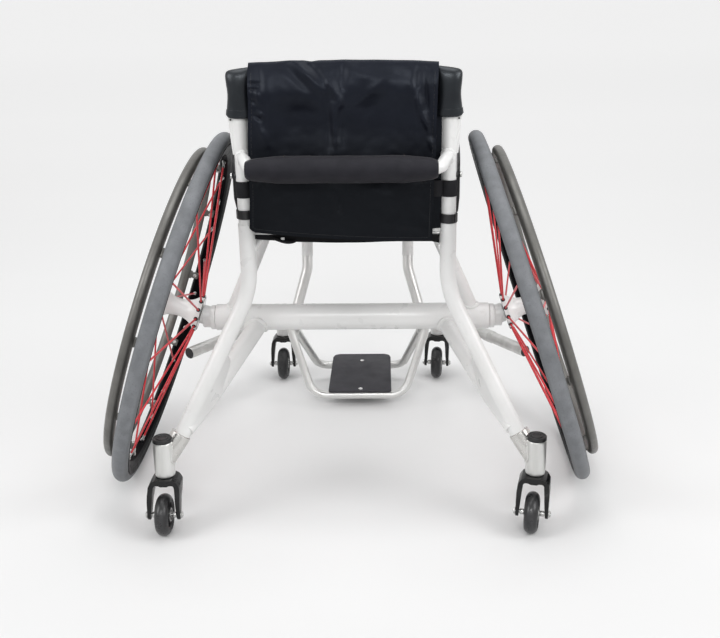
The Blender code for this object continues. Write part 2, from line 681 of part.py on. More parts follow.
for side_name, side in SIDES.items():
    post = piece("rear_post_" + side_name, tube(post_route(side, SLEEVE_INSERT), FRAME_TUBE), WHITE_PAINT)
    bore = [mirrored((POST_X, POST_Y, z), side) for z in (post_bore_bottom, POST_TOP + 0.01)]
    cutter("post_bore_" + side_name, tube(bore, CANE_DIAMETER + 2 * outer(SLIDE_FIT, TUBE_SIDES)), post)

    brace_route = [mirrored(p, side) for p in
                   ((BRACE_START_X, 0.0, BRACE_START_HEIGHT), brace_foot)]
    brace = piece("rear_brace_" + side_name, tube(brace_route, BRACE_TUBE), WHITE_PAINT)
    low, high = sorted((side * (BRACE_START_X - 0.06), side * (BRACE_START_X + 0.06)))
    cross_cutter("brace_top_" + side_name, brace, low, high, outer(tube_radius + FIT, camber_sides))
    lower_post = [mirrored(post_bend + post_run * share, side) for share in (0.2, 1.2)]
    tube_cutter("brace_foot_" + side_name, brace, lower_post, FRAME_TUBE)

    rail_route = [mirrored(p, side) for p in
                  rounded([rail_rear, rail_front, on_leg(SOCKET_HEIGHT, RAIL_FRONT_X)], RAIL_BEND_RADIUS, 4)]
    rail = piece("seat_rail_" + side_name, tube(rail_route, FRAME_TUBE), WHITE_PAINT)
    upright = [mirrored((POST_X, POST_Y, z), side) for z in (SEAT_REAR_HEIGHT - 0.05, SEAT_REAR_HEIGHT + 0.05)]
    tube_cutter("rail_end_" + side_name, rail, upright, FRAME_TUBE)
    socket_heights = (SOCKET_HEIGHT - 0.01, SOCKET_HEIGHT + SOCKET_DEPTH)
    socket = [mirrored(on_leg(z, RAIL_FRONT_X), side) for z in socket_heights]
    cutter("leg_socket_" + side_name, tube(socket, LEG_TUBE + 2 * outer(SLIDE_FIT, TUBE_SIDES)), rail)

    strut_top = on_rail(0.0) - Vector((0.0, 0.0, FRAME_TUBE / 4))
    strut_route = [mirrored(p, side) for p in ((STRUT_FOOT_X, 0.0, CAMBER_TUBE_HEIGHT + 0.01), strut_top)]
    strut = piece("side_strut_" + side_name, tube(strut_route, FRAME_TUBE), WHITE_PAINT)
    low, high = sorted((side * (STRUT_FOOT_X - 0.05), side * (STRUT_FOOT_X + 0.05)))
    cross_cutter("strut_foot_" + side_name, strut, low, high, outer(tube_radius + FIT, camber_sides))
    rail_piece = [mirrored(on_rail(y), side) for y in (-0.06, 0.06)]
    tube_cutter("strut_top_" + side_name, strut, rail_piece, FRAME_TUBE)

# Casters: housing barrels on the frame, forks and wheels that swivel under them
barrel_top = BARREL_FOOT + BARREL_LENGTH
barrel_radius = BARREL_DIAMETER / 2
bore_top = BARREL_FOOT + STEM_LENGTH + 2 * RUNNING_FIT
caster_places = {
    "rear_left": (-REAR_CASTER_X, REAR_CASTER_Y), "rear_right": (REAR_CASTER_X, REAR_CASTER_Y),
    "front_left": (-FRONT_CASTER_X, FRONT_CASTER_Y), "front_right": (FRONT_CASTER_X, FRONT_CASTER_Y),
}


def barrel_shape(x, y):
    """The outside of one caster housing, with its domed cap."""
    outline = [(BARREL_FOOT, 0.0), (BARREL_FOOT, barrel_radius), (barrel_top + BARREL_DOME * 0.5, barrel_radius),
               (barrel_top + BARREL_DOME, barrel_radius * 0.72), (barrel_top + BARREL_DOME, 0.0)]
    return moved(turned(outline, BARREL_SIDES, "Z"), x, y)


def barrel_bore(x, y):
    """The blind bore that the fork's stem turns in."""
    radius = outer(STEM_DIAMETER / 2 + RUNNING_FIT, SMALL_SIDES)
    return moved(round_bar(BARREL_FOOT - 0.01, bore_top, radius, SMALL_SIDES, "Z"), x, y)


for side_name, side in SIDES.items():
    x, y = side * REAR_CASTER_X, REAR_CASTER_Y
    housing = piece("rear_caster_housing_" + side_name, barrel_shape(x, y), BARE_ALUMINIUM)
    length = (sleeve_foot - SLEEVE_TOP).length + SLEEVE_OVERRUN
    outline = [(0.0, 0.0), (0.0, SLEEVE_DIAMETER / 2), (length, SLEEVE_FOOT_DIAMETER / 2), (length, 0.0)]
    sleeve = turned(outline, BARREL_SIDES, "Z")
    way = mirrored(sleeve_way, side).to_track_quat("Z", "Y").to_matrix().to_4x4()
    bmesh.ops.transform(sleeve, matrix=Matrix.Translation(mirrored(SLEEVE_TOP, side)) @ way, verts=sleeve.verts)
    addition("housing_sleeve_" + side_name, sleeve, housing)
    tube_cutter("housing_socket_" + side_name, housing, post_route(side, SLEEVE_INSERT + FIT), FRAME_TUBE)
    cutter("housing_bore_" + side_name, barrel_bore(x, y), housing)

    x, y = side * FRONT_CASTER_X, FRONT_CASTER_Y
    start = (FRONT_RAIL_START_X, 0.0, CAMBER_TUBE_HEIGHT - 0.004)
    finish = (FRONT_CASTER_X, FRONT_CASTER_Y, (BARREL_FOOT + barrel_top) / 2)
    route = [mirrored(p, side) for p in (start, finish)]
    lower = piece("front_rail_" + side_name, tube(route, FRONT_RAIL_TUBE), WHITE_PAINT)
    addition("front_barrel_" + side_name, barrel_shape(x, y), lower)
    cutter("front_bore_" + side_name, barrel_bore(x, y), lower)
    low, high = sorted((side * (FRONT_RAIL_START_X - 0.06), side * (FRONT_RAIL_START_X + 0.06)))
    cross_cutter("front_rail_top_" + side_name, lower, low, high, outer(tube_radius + FIT, camber_sides))

crown_top = BARREL_FOOT - 2 * RUNNING_FIT
crown_bottom = crown_top - FORK_CROWN
stem_top = BARREL_FOOT + STEM_LENGTH


def arc(centre, radius, start, end, steps):
    """Points on an arc, from one angle in degrees to another."""
    angles = [radians(start + (end - start) * step / steps) for step in range(steps + 1)]
    return [(centre[0] + radius * cos(a), centre[1] + radius * sin(a)) for a in angles]


def fork_front():
    """The fork seen from behind: an arch with rounded shoulders and two straight arms."""
    half, gap = FORK_WIDTH / 2, FORK_GAP / 2
    foot = CASTER_WHEEL_RADIUS - FORK_BOSS_RADIUS - 0.002
    shoulder = (half - FORK_SHOULDER, crown_top - FORK_SHOULDER)
    fillet = FORK_SHOULDER / 2
    inside = (gap - fillet, crown_bottom - fillet)
    right = [(half, foot)] + arc(shoulder, FORK_SHOULDER, 0, 90, 3)
    left = [(-x, z) for x, z in reversed(right)]
    arch = [(-gap, foot)] + [(-x, z) for x, z in arc(inside, fillet, 0, 90, 2)]
    back = arc(inside, fillet, 90, 0, 2) + [(gap, foot)]
    return right + left + arch + back


def fork_side():
    """The fork seen from its side: the arms run back from the crown to the wheel's axle."""
    axle = (-CASTER_TRAIL, CASTER_WHEEL_RADIUS)
    boss = arc(axle, FORK_BOSS_RADIUS, 160, 350, 5)
    front = [(FORK_NOSE - 0.010, crown_bottom - 0.012), (FORK_NOSE, crown_bottom + 0.002),
             (FORK_NOSE, crown_top + 0.01)]
    rear = [(-FORK_HEEL, crown_top + 0.01), (-FORK_HEEL, crown_bottom), (-FORK_HEEL - 0.008, crown_bottom - 0.014)]
    return rear + boss + front


swivels = {}
for name, (x, y) in caster_places.items():
    swivels[name] = holder("swivel_axis_" + name, (x, y, 0.0), (0.0, 0.0, SWIVEL_AT_REST[name]))
    fork = piece("caster_fork_" + name, prism(fork_front(), -CASTER_TRAIL - 0.03, FORK_NOSE + 0.01, "Y"),
                 BLACK_METAL, swivels[name])
    side_view = piece("fork_side_" + name + "_guide", prism(fork_side(), -FORK_WIDTH, FORK_WIDTH, "X"),
                      BLACK_METAL, swivels[name], smooth=False)
    boolean(fork, side_view, "INTERSECT")
    stem = round_bar(crown_bottom + FORK_CROWN / 3, stem_top, STEM_DIAMETER / 2, SMALL_SIDES, "Z")
    addition("stem_" + name, stem, fork)
    hole_radius = outer(CASTER_BOLT_DIAMETER / 2 + SLIDE_FIT, SMALL_SIDES)
    hole = round_bar(-FORK_WIDTH, FORK_WIDTH, hole_radius, SMALL_SIDES)
    cutter("fork_hole_" + name, moved(hole, 0.0, -CASTER_TRAIL, CASTER_WHEEL_RADIUS), fork)

caster_hub_half = CASTER_WHEEL_WIDTH / 2 + 0.0008
for name, swivel in swivels.items():
    axle = holder("caster_axle_" + name + "_axis", (0.0, -CASTER_TRAIL, CASTER_WHEEL_RADIUS), parent=swivel)
    bolt, spacer, head = CASTER_BOLT_DIAMETER / 2, CASTER_SPACER_DIAMETER / 2, CASTER_BOLT_HEAD / 2
    inside = FORK_GAP / 2 - FIT
    outside = FORK_WIDTH / 2 + FIT
    right = [(caster_hub_half + RUNNING_FIT, bolt), (caster_hub_half + RUNNING_FIT, spacer), (inside, spacer),
             (inside, bolt), (outside, bolt), (outside, head),
             (outside + CASTER_BOLT_HEAD_THICKNESS, head * 0.8), (outside + CASTER_BOLT_HEAD_THICKNESS, 0.0)]
    outline = right + [(-along, radius) for along, radius in reversed(right)]
    piece("caster_axle_" + name, turned(outline, BOLT_SIDES), STEEL, axle)

    bore = outer(CASTER_BOLT_DIAMETER / 2 + RUNNING_FIT, CASTER_SIDES)
    tread = [(CASTER_WHEEL_WIDTH / 2 * sin(a), CASTER_WHEEL_RADIUS - CASTER_WHEEL_WIDTH / 2 * (1 - cos(a)))
             for a in (0.0, radians(35), radians(68))]
    right = tread[1:] + [(CASTER_CORE_WIDTH / 2, CASTER_CORE_RADIUS - 0.004),
                         (CASTER_WEB_WIDTH / 2, CASTER_CORE_RADIUS - 0.005),
                         (CASTER_WEB_WIDTH / 2, CASTER_HUB_RADIUS), (caster_hub_half, CASTER_HUB_RADIUS),
                         (caster_hub_half, bore)]
    outline = [tread[0]] + right + [(-along, radius) for along, radius in reversed(right)]
    piece("caster_wheel_" + name, turned(outline, CASTER_SIDES), CASTER_RUBBER, axle)

# Wing tubes from the front housings out to the wheels
wing_start = Vector((FRONT_CASTER_X, FRONT_CASTER_Y, WING_HEIGHT_AT_BARREL))
wing_run = WING_END - wing_start
wing_way = wing_run.normalized()
for side_name, side in SIDES.items():
    route = [mirrored(p, side) for p in (wing_start, WING_END)]
    wing = piece("wing_tube_" + side_name, tube(route, WING_TUBE), BARE_ALUMINIUM)
    ring_middle = wing_start + wing_run * WING_JOINT_SHARE
    ring_route = [mirrored(ring_middle + wing_way * (share * WING_SLEEVE_LENGTH), side) for share in (-0.5, 0.5)]
    addition("wing_joint_" + side_name, tube(ring_route, WING_TUBE + 2 * WING_SLEEVE_WALL), wing)
    x, y = side * FRONT_CASTER_X, FRONT_CASTER_Y
    edge = outer(barrel_radius + FIT, BARREL_SIDES)
    housing_space = moved(round_bar(BARREL_FOOT - 0.02, barrel_top + 0.02, edge, BARREL_SIDES, "Z"), x, y)
    cutter("wing_end_" + side_name, housing_space, wing)
    rail_line = [mirrored(p, side) for p in (start, finish)]
    tube_cutter("wing_rail_" + side_name, wing, rail_line, FRONT_RAIL_TUBE)

# Footrest: two legs that slide in the frame's sockets, a near and a far loop, and the plate
leg_top = SOCKET_HEIGHT + SOCKET_DEPTH - 0.022
legs = {}
for side_name, side in SIDES.items():
    route = rounded([on_leg(leg_top, RAIL_FRONT_X), on_leg(LEG_KNEE_HEIGHT, RAIL_FRONT_X),
                     on_leg(LEG_FOOT_HEIGHT, LEG_FOOT_X)], 0.06, 3)
    leg = piece("footrest_leg_" + side_name, tube([mirrored(p, side) for p in route], LEG_TUBE), BARE_ALUMINIUM)
    down = (on_leg(LEG_FOOT_HEIGHT, LEG_FOOT_X) - on_leg(LEG_KNEE_HEIGHT, RAIL_FRONT_X)).normalized()
    mouth = on_leg(LEG_FOOT_HEIGHT, LEG_FOOT_X)
    bore = [mirrored(p, side) for p in (mouth + down * 0.01, mouth - down * (LOOP_INSERT + 0.003))]
    cutter("leg_bore_" + side_name, tube(bore, LOOP_TUBE + 2 * outer(FIT, TUBE_SIDES)), leg)
    legs[side_name] = (mouth, down)

mouth, down = legs["right"]
half_loop = [mouth - down * LOOP_INSERT, mouth + down * LOOP_ELBOW_RUN]
low_corner = on_leg(LOOP_LOW_HEIGHT, LOOP_LOW_X)
near_right = half_loop + [low_corner]
near_left = [mirrored(p, -1) for p in reversed(near_right)]
near_route = rounded(near_right + near_left, LOOP_CORNER_RADIUS, 3)
near_loop = piece("footrest_near_loop", tube(near_route, LOOP_TUBE, SMALL_SIDES), BARE_ALUMINIUM)
far_top = on_leg(LEG_FOOT_HEIGHT - 0.012, LEG_FOOT_X - 0.001)
far_corner = Vector((FAR_LOOP_CORNER_X, FAR_LOOP_LOW_Y, FAR_LOOP_LOW_HEIGHT))
far_right = [far_top, far_corner]
far_left = [mirrored(p, -1) for p in reversed(far_right)]
far_route = rounded(far_right + far_left, FAR_LOOP_CORNER_RADIUS, 3)
far_loop = piece("footrest_far_loop", tube(far_route, LOOP_TUBE, SMALL_SIDES), BARE_ALUMINIUM)
for side_name, side in SIDES.items():
    near_leg = [mirrored(p, side) for p in rounded(near_right, LOOP_CORNER_RADIUS, 3)]
    tube_cutter("far_loop_end_" + side_name, far_loop, near_leg, LOOP_TUBE, SMALL_SIDES)
    mouth_leg = [mirrored(mouth + down * 0.0005, side), mirrored(mouth - down * 0.05, side)]
    tube_cutter("far_loop_leg_" + side_name, far_loop, mouth_leg, LEG_TUBE)

near_rest = Vector((PLATE_SHIFT, low_corner.y, LOOP_LOW_HEIGHT))
far_rest = Vector((PLATE_SHIFT, FAR_LOOP_LOW_Y, FAR_LOOP_LOW_HEIGHT))
plate_way = (far_rest - near_rest).normalized()
plate_tilt = atan2(plate_way.z, plate_way.y)
half_width = PLATE_WIDTH / 2
outline = arc((half_width - PLATE_CORNER, PLATE_LENGTH - PLATE_OVERHANG - PLATE_CORNER), PLATE_CORNER, 0, 90, 3)
outline += [(-x, y) for x, y in reversed(outline)]
outline += [(-half_width, -PLATE_OVERHANG), (half_width, -PLATE_OVERHANG)]
plate = prism(outline, 0.0, PLATE_THICKNESS, "Z")
lift = LOOP_TUBE / 2 + FIT
place = Matrix.Translation(near_rest) @ Matrix.Rotation(plate_tilt, 4, "X") @ Matrix.Translation((0, 0, lift))
bmesh.ops.transform(plate, matrix=place, verts=plate.verts)
piece("footplate", plate, BLACK_PLASTIC)

# Backrest: canes in the posts, a bowed bar with its pad, guards and the sling
cane_radius = CANE_DIAMETER / 2
cane_knee = Vector((POST_X, POST_Y, POST_TOP + CANE_STRAIGHT))
cane_top = Vector((POST_X + CANE_SPREAD, POST_Y, CANE_TOP))
cane_lean = cane_top - cane_knee


def on_cane(height):
    """A place on the leaning part of the right cane's centre line."""
    return cane_knee + cane_lean * ((height - cane_knee.z) / cane_lean.z)


for side_name, side in SIDES.items():
    route = rounded([(POST_X, POST_Y, POST_TOP - CANE_INSERT), cane_knee, cane_top], CANE_BEND_RADIUS, 2)
    cane = piece("back_cane_" + side_name, tube([mirrored(p, side) for p in route], CANE_DIAMETER), WHITE_PAINT)
    foot, head = on_cane(FIN_BOTTOM).x, on_cane(FIN_TOP).x
    fin = [(side * foot, FIN_BOTTOM), (side * (foot + cane_radius + FIN_FOOT_REACH), FIN_BOTTOM),
           (side * (head + cane_radius + FIN_REACH), FIN_TOP), (side * head, FIN_TOP)]
    half = FIN_THICKNESS / 2
    addition("cane_fin_" + side_name, prism(fin, POST_Y - half, POST_Y + half, "Y"), cane)
    low = POST_TOP + CANE_COLLAR_RISE[side_name]
    ring = ring_shape(low, low + CANE_COLLAR_HEIGHT, outer(cane_radius + SLIDE_FIT, TUBE_SIDES),
                      CANE_COLLAR_DIAMETER / 2, TUBE_SIDES, "Z")
    piece("cane_collar_" + side_name, moved(ring, side * POST_X, POST_Y), BLACK_PLASTIC)

bar_end = on_cane(BAR_HEIGHT + BAR_END_RISE)
bar_corner = Vector((bar_end.x - BAR_END_RUN, POST_Y - BAR_BOW, BAR_HEIGHT))
half_bar = [bar_end, bar_corner]
bar_route = rounded(half_bar + [mirrored(p, -1) for p in reversed(half_bar)], BAR_BEND_RADIUS, 3)
bar = piece("rigidizer_bar", tube(bar_route, BAR_DIAMETER), WHITE_PAINT)
for side_name, side in SIDES.items():
    upright = [mirrored(on_cane(BAR_HEIGHT + rise), side) for rise in (-0.04, 0.04)]
    tube_cutter("bar_end_" + side_name, bar, upright, CANE_DIAMETER)
foam = round_bar(PAD_SHIFT - PAD_HALF_LENGTH, PAD_SHIFT + PAD_HALF_LENGTH, PAD_DIAMETER / 2, PAD_SIDES)
pad = piece("rigidizer_pad", moved(foam, 0.0, bar_corner.y, BAR_HEIGHT), BLACK_FOAM)
tube_cutter("pad_bore", pad, bar_route, BAR_DIAMETER)

# Side guards, each bolted through a spacer to its cane
guard_inner = bar_end.x + cane_radius + GUARD_STANDOFF
guard_outline = [
    (GUARD_REAR_Y, GUARD_FOOT), (GUARD_REAR_Y, GUARD_SHOULDER), (GUARD_REAR_Y + 0.058, GUARD_TOP),
    (0.02, GUARD_TOP + 0.005), (0.10, GUARD_TOP - GUARD_BROW_DROP),
    (GUARD_FRONT_Y - GUARD_NOSE_RUN, GUARD_TOP - GUARD_NOSE_DROP),
    (GUARD_FRONT_Y, GUARD_LOW + 0.017), (GUARD_FRONT_Y - GUARD_NOSE_RUN, GUARD_LOW + 0.005), (-0.04, GUARD_LOW),
    (GUARD_REAR_Y + 0.028, GUARD_LOW + 0.017),
]
for side_name, side in SIDES.items():
    low, high = sorted((side * guard_inner, side * (guard_inner + GUARD_THICKNESS)))
    guard = piece("side_guard_" + side_name, prism(guard_outline, low, high, "X"), BLACK_PLASTIC)
    bolt_place = on_cane(GUARD_BOLT_HEIGHT)
    low, high = sorted((side * bolt_place.x, side * (guard_inner + GUARD_THICKNESS / 2)))
    spacer = moved(round_bar(low, high, GUARD_BOLT_DIAMETER / 2, SMALL_SIDES), 0.0, POST_Y, GUARD_BOLT_HEIGHT)
    addition("guard_spacer_" + side_name, spacer, guard)
    upright = [mirrored(on_cane(GUARD_BOLT_HEIGHT + rise), side) for rise in (-0.04, 0.04)]
    tube_cutter("guard_seat_" + side_name, guard, upright, CANE_DIAMETER)

# Back sling: a bowed panel between the canes that ends in a sleeve round the top of each
pad_front = bar_corner.y + PAD_DIAMETER / 2 + FIT
sleeve_low, sleeve_high = SLEEVE_BOTTOM, CANE_TOP + BACK_TOP_FOLD


def panel_section(height, half_width):
    """One level of the panel, seen from above: flat behind the back, drawn forward at both edges."""
    if height <= BAR_HEIGHT:
        share = (height - BACK_BOTTOM) / (BAR_HEIGHT - BACK_BOTTOM)
        edges, middles = (BACK_BOTTOM_EDGE_Y, BACK_PAD_EDGE_Y), (BACK_BOTTOM_MIDDLE_Y, pad_front)
    else:
        share = (height - BAR_HEIGHT) / (BACK_TOP - BAR_HEIGHT)
        edges, middles = (BACK_PAD_EDGE_Y, BACK_TOP_EDGE_Y), (pad_front, BACK_TOP_MIDDLE_Y)
    edge_y = edges[0] + (edges[1] - edges[0]) * share
    middle_y = middles[0] + (middles[1] - middles[0]) * share
    across = [half_width * part for part in (-1.0, -0.85, -0.6, -0.3, 0.3, 0.6, 0.85, 1.0)]
    rear = [(x, edge_y + (middle_y - edge_y) * (1 - (x / half_width) ** 4), height) for x in across]
    front = [(x, y + BACK_THICKNESS, height) for x, y, height in rear]
    return front + rear[::-1]


shoulder_width = on_cane(SLEEVE_BOTTOM).x - cane_radius + SLEEVE_WALL
panel_rows = [(BACK_BOTTOM, BACK_HALF_WIDTH), (BAR_HEIGHT, BACK_HALF_WIDTH), (sleeve_low - 0.001, BACK_HALF_WIDTH),
              (sleeve_low + 0.001, shoulder_width), (BACK_TOP, shoulder_width)]
sling = piece("back_sling", lofted([panel_section(*row) for row in panel_rows]), BLACK_FABRIC)
for side_name, side in SIDES.items():
    route = [mirrored(on_cane(z), side) for z in (sleeve_low, sleeve_high)]
    addition("sling_sleeve_" + side_name, tube(route, CANE_DIAMETER + 2 * SLEEVE_WALL, BARREL_SIDES), sling)
    bore = [mirrored(on_cane(z), side) for z in (sleeve_low - 0.02, CANE_TOP + FIT)]
    tube_cutter("sling_bore_" + side_name, sling, bore, CANE_DIAMETER)
    foot, head = on_cane(FIN_BOTTOM).x, on_cane(FIN_TOP).x
    clear = FIN_THICKNESS / 2 + FIT
    slot = [(side * foot, FIN_BOTTOM), (side * (foot + cane_radius + FIN_FOOT_REACH + FIT), FIN_BOTTOM),
            (side * (head + cane_radius + FIN_REACH + FIT), FIN_TOP + FIT), (side * head, FIN_TOP + FIT)]
    cutter("sling_slot_" + side_name, prism(slot, POST_Y - clear, POST_Y + clear, "Y"), sling)

# Seat sling: laid over the two seat rails, its rear edge between the posts
def seat_section(y, half_width):
    """One crossways section of the sagging seat."""
    base = on_rail(y).z + outer(FRAME_TUBE / 2 + FIT, TUBE_SIDES)
    across = [half_width * share for share in (-1.0, -0.6, 0.0, 0.6, 1.0)]
    sag = [SEAT_SAG * (1 - (x / half_width) ** 2) for x in across]
    below = [(x, y, base - drop) for x, drop in zip(across, sag)]
    above = [(x, y, base - drop + SEAT_THICKNESS) for x, drop in zip(across, sag)]
    return below + above[::-1]


between_posts = POST_X - FRAME_TUBE / 2 - 3 * FIT
post_front = POST_Y + FRAME_TUBE / 2
seat_rows = [(SEAT_REAR_Y, between_posts), (post_front + SEAT_EDGE, between_posts)]
for y in (post_front + 1.5 * SEAT_EDGE, SEAT_MIDDLE_Y, SEAT_FRONT_EDGE):
    seat_rows.append((y, on_rail(y).x + SEAT_EDGE))
piece("seat_sling", lofted([seat_section(y, half) for y, half in seat_rows]), BLACK_FABRIC)

chair_low = Vector((0.0, -WHEEL_RADIUS, 0.0))
chair_high = Vector((0.0, FRONT_CASTER_Y + max(FORK_NOSE, barrel_radius), 0.0))
chair.location.y = -(chair_low.y + chair_high.y) / 2
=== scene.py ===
"""Looks of a court wheelchair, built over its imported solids.

Metres, +Z up, +Y forward, +X the rider's right. The drawings behind the sizes count lengthways
from the rear axle line, which lies a little behind the origin.
"""
from math import acos, atan2, cos, pi, radians, sin, sqrt
import bpy
from mathutils import Matrix, Vector, noise


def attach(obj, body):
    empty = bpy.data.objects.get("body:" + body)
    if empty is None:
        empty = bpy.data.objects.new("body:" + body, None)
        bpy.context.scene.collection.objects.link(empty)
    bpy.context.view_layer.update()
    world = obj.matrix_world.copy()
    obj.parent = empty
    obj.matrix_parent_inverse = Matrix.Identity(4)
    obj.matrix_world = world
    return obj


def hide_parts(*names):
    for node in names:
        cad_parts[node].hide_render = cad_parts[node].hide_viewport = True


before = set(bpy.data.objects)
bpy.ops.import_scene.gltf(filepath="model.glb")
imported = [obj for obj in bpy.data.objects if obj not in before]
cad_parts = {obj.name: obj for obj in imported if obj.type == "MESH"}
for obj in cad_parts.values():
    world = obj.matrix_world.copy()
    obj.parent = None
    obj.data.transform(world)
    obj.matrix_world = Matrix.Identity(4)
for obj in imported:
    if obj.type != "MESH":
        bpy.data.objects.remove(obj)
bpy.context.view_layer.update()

# Camber tube
# The big cross tube is drawn aluminium under white powder coat. A welded collar at each end
# grips the cambered plug that the axle of a rear wheel slides into.
AXLE_LINE_Y = -0.04775
CAMBER_TUBE_HEIGHT = 0.270
CAMBER_TUBE_RADIUS = 0.022225
CAMBER_TUBE_HALF = 0.231
CAMBER_TUBE_WALL = 0.0022
COLLAR_RADIUS = 0.0205
COLLAR_WIDTH = 0.0092
PLUG_RADIUS = 0.0175
PLUG_END = 0.2535
SIDES = {"right": 1, "left": -1}
UP = Vector((0, 0, 1))
ACROSS = Vector((1, 0, 0))
SETTINGS = {"metallic": "Metallic", "coat": "Coat Weight", "specular": "Specular IOR Level",
            "tint": "Specular Tint", "sheen": "Sheen Weight", "sheen_roughness": "Sheen Roughness"}


def spot(x, y, z):
    """A place on the chair, measured lengthways from the axle line."""
    return Vector((x, y + AXLE_LINE_Y, z))


def deselect():
    """Leaves nothing selected, so that the next operator works on one piece alone."""
    if bpy.context.object and bpy.context.object.mode == "EDIT":
        bpy.ops.object.mode_set(mode="OBJECT")
    bpy.ops.object.select_all(action="DESELECT")


def take(piece):
    """Makes one piece the only selected and active one."""
    deselect()
    piece.select_set(True)
    bpy.context.view_layer.objects.active = piece
    return piece


def fresh(name, mesh):
    """Puts a new mesh or curve on the bench as a piece."""
    piece = bpy.data.objects.new(name, mesh)
    bpy.context.scene.collection.objects.link(piece)
    return take(piece)


def meshed(name, points, edges, faces):
    """Puts a piece of bare points, edges and faces on the bench."""
    mesh = bpy.data.meshes.new(name)
    mesh.from_pydata(points, edges, faces)
    return fresh(name, mesh)


def outward(piece):
    """Turns the faces of a piece outward."""
    bpy.ops.object.mode_set(mode="EDIT")
    bpy.ops.mesh.select_all(action="SELECT")
    bpy.ops.mesh.normals_make_consistent(inside=False)
    bpy.ops.object.mode_set(mode="OBJECT")
    return piece


def smoothed(piece, angle):
    """Shades a piece smooth, apart from the edges that are sharper than the angle."""
    take(piece)
    bpy.ops.object.shade_smooth_by_angle(angle=radians(angle))
    return piece


def settled(piece):
    """Applies the modifiers and leaves the object at the origin, with its place in its mesh."""
    take(piece)
    for modifier in list(piece.modifiers):
        bpy.ops.object.modifier_apply(modifier=modifier.name)
    bpy.ops.object.transform_apply(location=True, rotation=True, scale=True)
    return piece


def rounded(corners, radius, steps=4):
    """Replaces each inner corner of a route or profile by an arc."""
    points = [Vector(corner) for corner in corners]
    route = [points[0]]
    for before, corner, after in zip(points, points[1:], points[2:]):
        back = (before - corner).normalized()
        ahead = (after - corner).normalized()
        half = acos(max(-1.0, min(1.0, back.dot(ahead)))) / 2
        if half > radians(89):
            route.append(corner)
            continue
        slope = sin(half) / cos(half)
        room = 0.48 * min((before - corner).length, (after - corner).length)
        setback = min(radius / slope, room)
        arc_radius = setback * sin(half) / cos(half)
        centre = corner + (back + ahead).normalized() * (arc_radius / sin(half))
        start = corner + back * setback - centre
        end = corner + ahead * setback - centre
        sweep = start.angle(end)
        for step in range(steps + 1):
            part = step / steps
            route.append(centre + (start * sin((1 - part) * sweep) + end * sin(part * sweep)) / sin(sweep))
    route.append(points[-1])
    return route


def turned(name, profile, steps, place, soft=0.0006, angle=35):
    """Turns a profile of (along, radius) points about X as on a lathe, then puts it in its place."""
    points = rounded([Vector((along, radius)) for along, radius in profile], soft, 3) if soft else profile
    solid = profile[0][1] == 0 and profile[-1][1] == 0
    count = len(points)
    edges = [(here, here + 1) for here in range(count - 1)]
    if not solid:
        edges.append((count - 1, 0))
    piece = meshed(name, [(point[0], 0.0, point[1]) for point in points], edges, [])
    bpy.ops.object.mode_set(mode="EDIT")
    bpy.ops.mesh.select_all(action="SELECT")
    bpy.ops.mesh.spin(steps=steps, angle=2 * pi, center=(0, 0, 0), axis=(1, 0, 0))
    bpy.ops.mesh.select_all(action="SELECT")
    bpy.ops.mesh.remove_doubles(threshold=0.00001)
    outward(piece)
    mesh = piece.data
    along = mesh.attributes.new("along", "FLOAT", "POINT")
    out = mesh.attributes.new("out", "FLOAT", "POINT")
    for number, vertex in enumerate(mesh.vertices):
        along.data[number].value = vertex.co.x
        out.data[number].value = vertex.co.yz.length
    if place is not None:
        mesh.transform(place)
    return smoothed(piece, angle)


def bush(name, low, high, inner, outer, steps, place=None, soft=0.0006):
    """A plain turned bush or washer between two places along X."""
    return turned(name, [(low, inner), (low, outer), (high, outer), (high, inner)], steps, place, soft)


def both_halves(outline):
    """Carries an outline on over its middle to the same points on the other side."""
    return outline + [(-a, b) for a, b in reversed(outline)]


def mirrored_copy(piece, name):
    """The same piece for the other side of the chair, with a mesh of its own."""
    mesh = piece.data.copy()
    mesh.transform(Matrix.Scale(-1, 4, (1, 0, 0)))
    mesh.flip_normals()
    return fresh(name, mesh)


def fitted(piece, body, *solids, star=""):
    """Fixes a finished piece to its body, in place of its solids; a star in a name is filled in."""
    body = body.replace("*", star)
    solids = [solid.replace("*", star) for solid in solids]
    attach(piece, body)
    if solids:
        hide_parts(*solids)
    return piece


def both_sides(piece, name, body, *solids):
    """Fits a right-hand piece and its mirror image; a star in a name stands for the side's name."""
    other = mirrored_copy(piece, name + "_left")
    piece.name = name + "_right"
    fitted(piece, body, *solids, star="right")
    fitted(other, body, *solids, star="left")
    return piece, other


def finish(name, slot, colour, roughness, **settings):
    """A material with its plain colour and gloss before its patterns; its slot is not used."""
    made = bpy.data.materials.new(name)
    made.use_nodes = True
    shader = made.node_tree.nodes["Principled BSDF"]
    shader.inputs["Base Color"].default_value = (*colour, 1.0)
    shader.inputs["Roughness"].default_value = roughness
    shader.inputs["Coat Roughness"].default_value = 0.08
    for setting, value in settings.items():
        shader.inputs[SETTINGS[setting]].default_value = value
    return made


def speckle(made, scale, detail, stretch=(1, 1, 1)):
    """A cloud pattern that is fixed to the piece; its output goes into colour, gloss or relief."""
    tree = made.node_tree
    where = tree.nodes.new("ShaderNodeTexCoord")
    mapping = tree.nodes.new("ShaderNodeMapping")
    mapping.inputs["Scale"].default_value = stretch
    cloud = tree.nodes.new("ShaderNodeTexNoise")
    cloud.inputs["Scale"].default_value = scale
    cloud.inputs["Detail"].default_value = detail
    tree.links.new(where.outputs["Object"], mapping.inputs["Vector"])
    tree.links.new(mapping.outputs["Vector"], cloud.inputs["Vector"])
    return cloud.outputs["Fac"]


def clouded(made, pattern):
    """A pattern as it is, or the speckle whose scale, detail and stretch are given."""
    return speckle(made, *pattern) if isinstance(pattern, tuple) else pattern


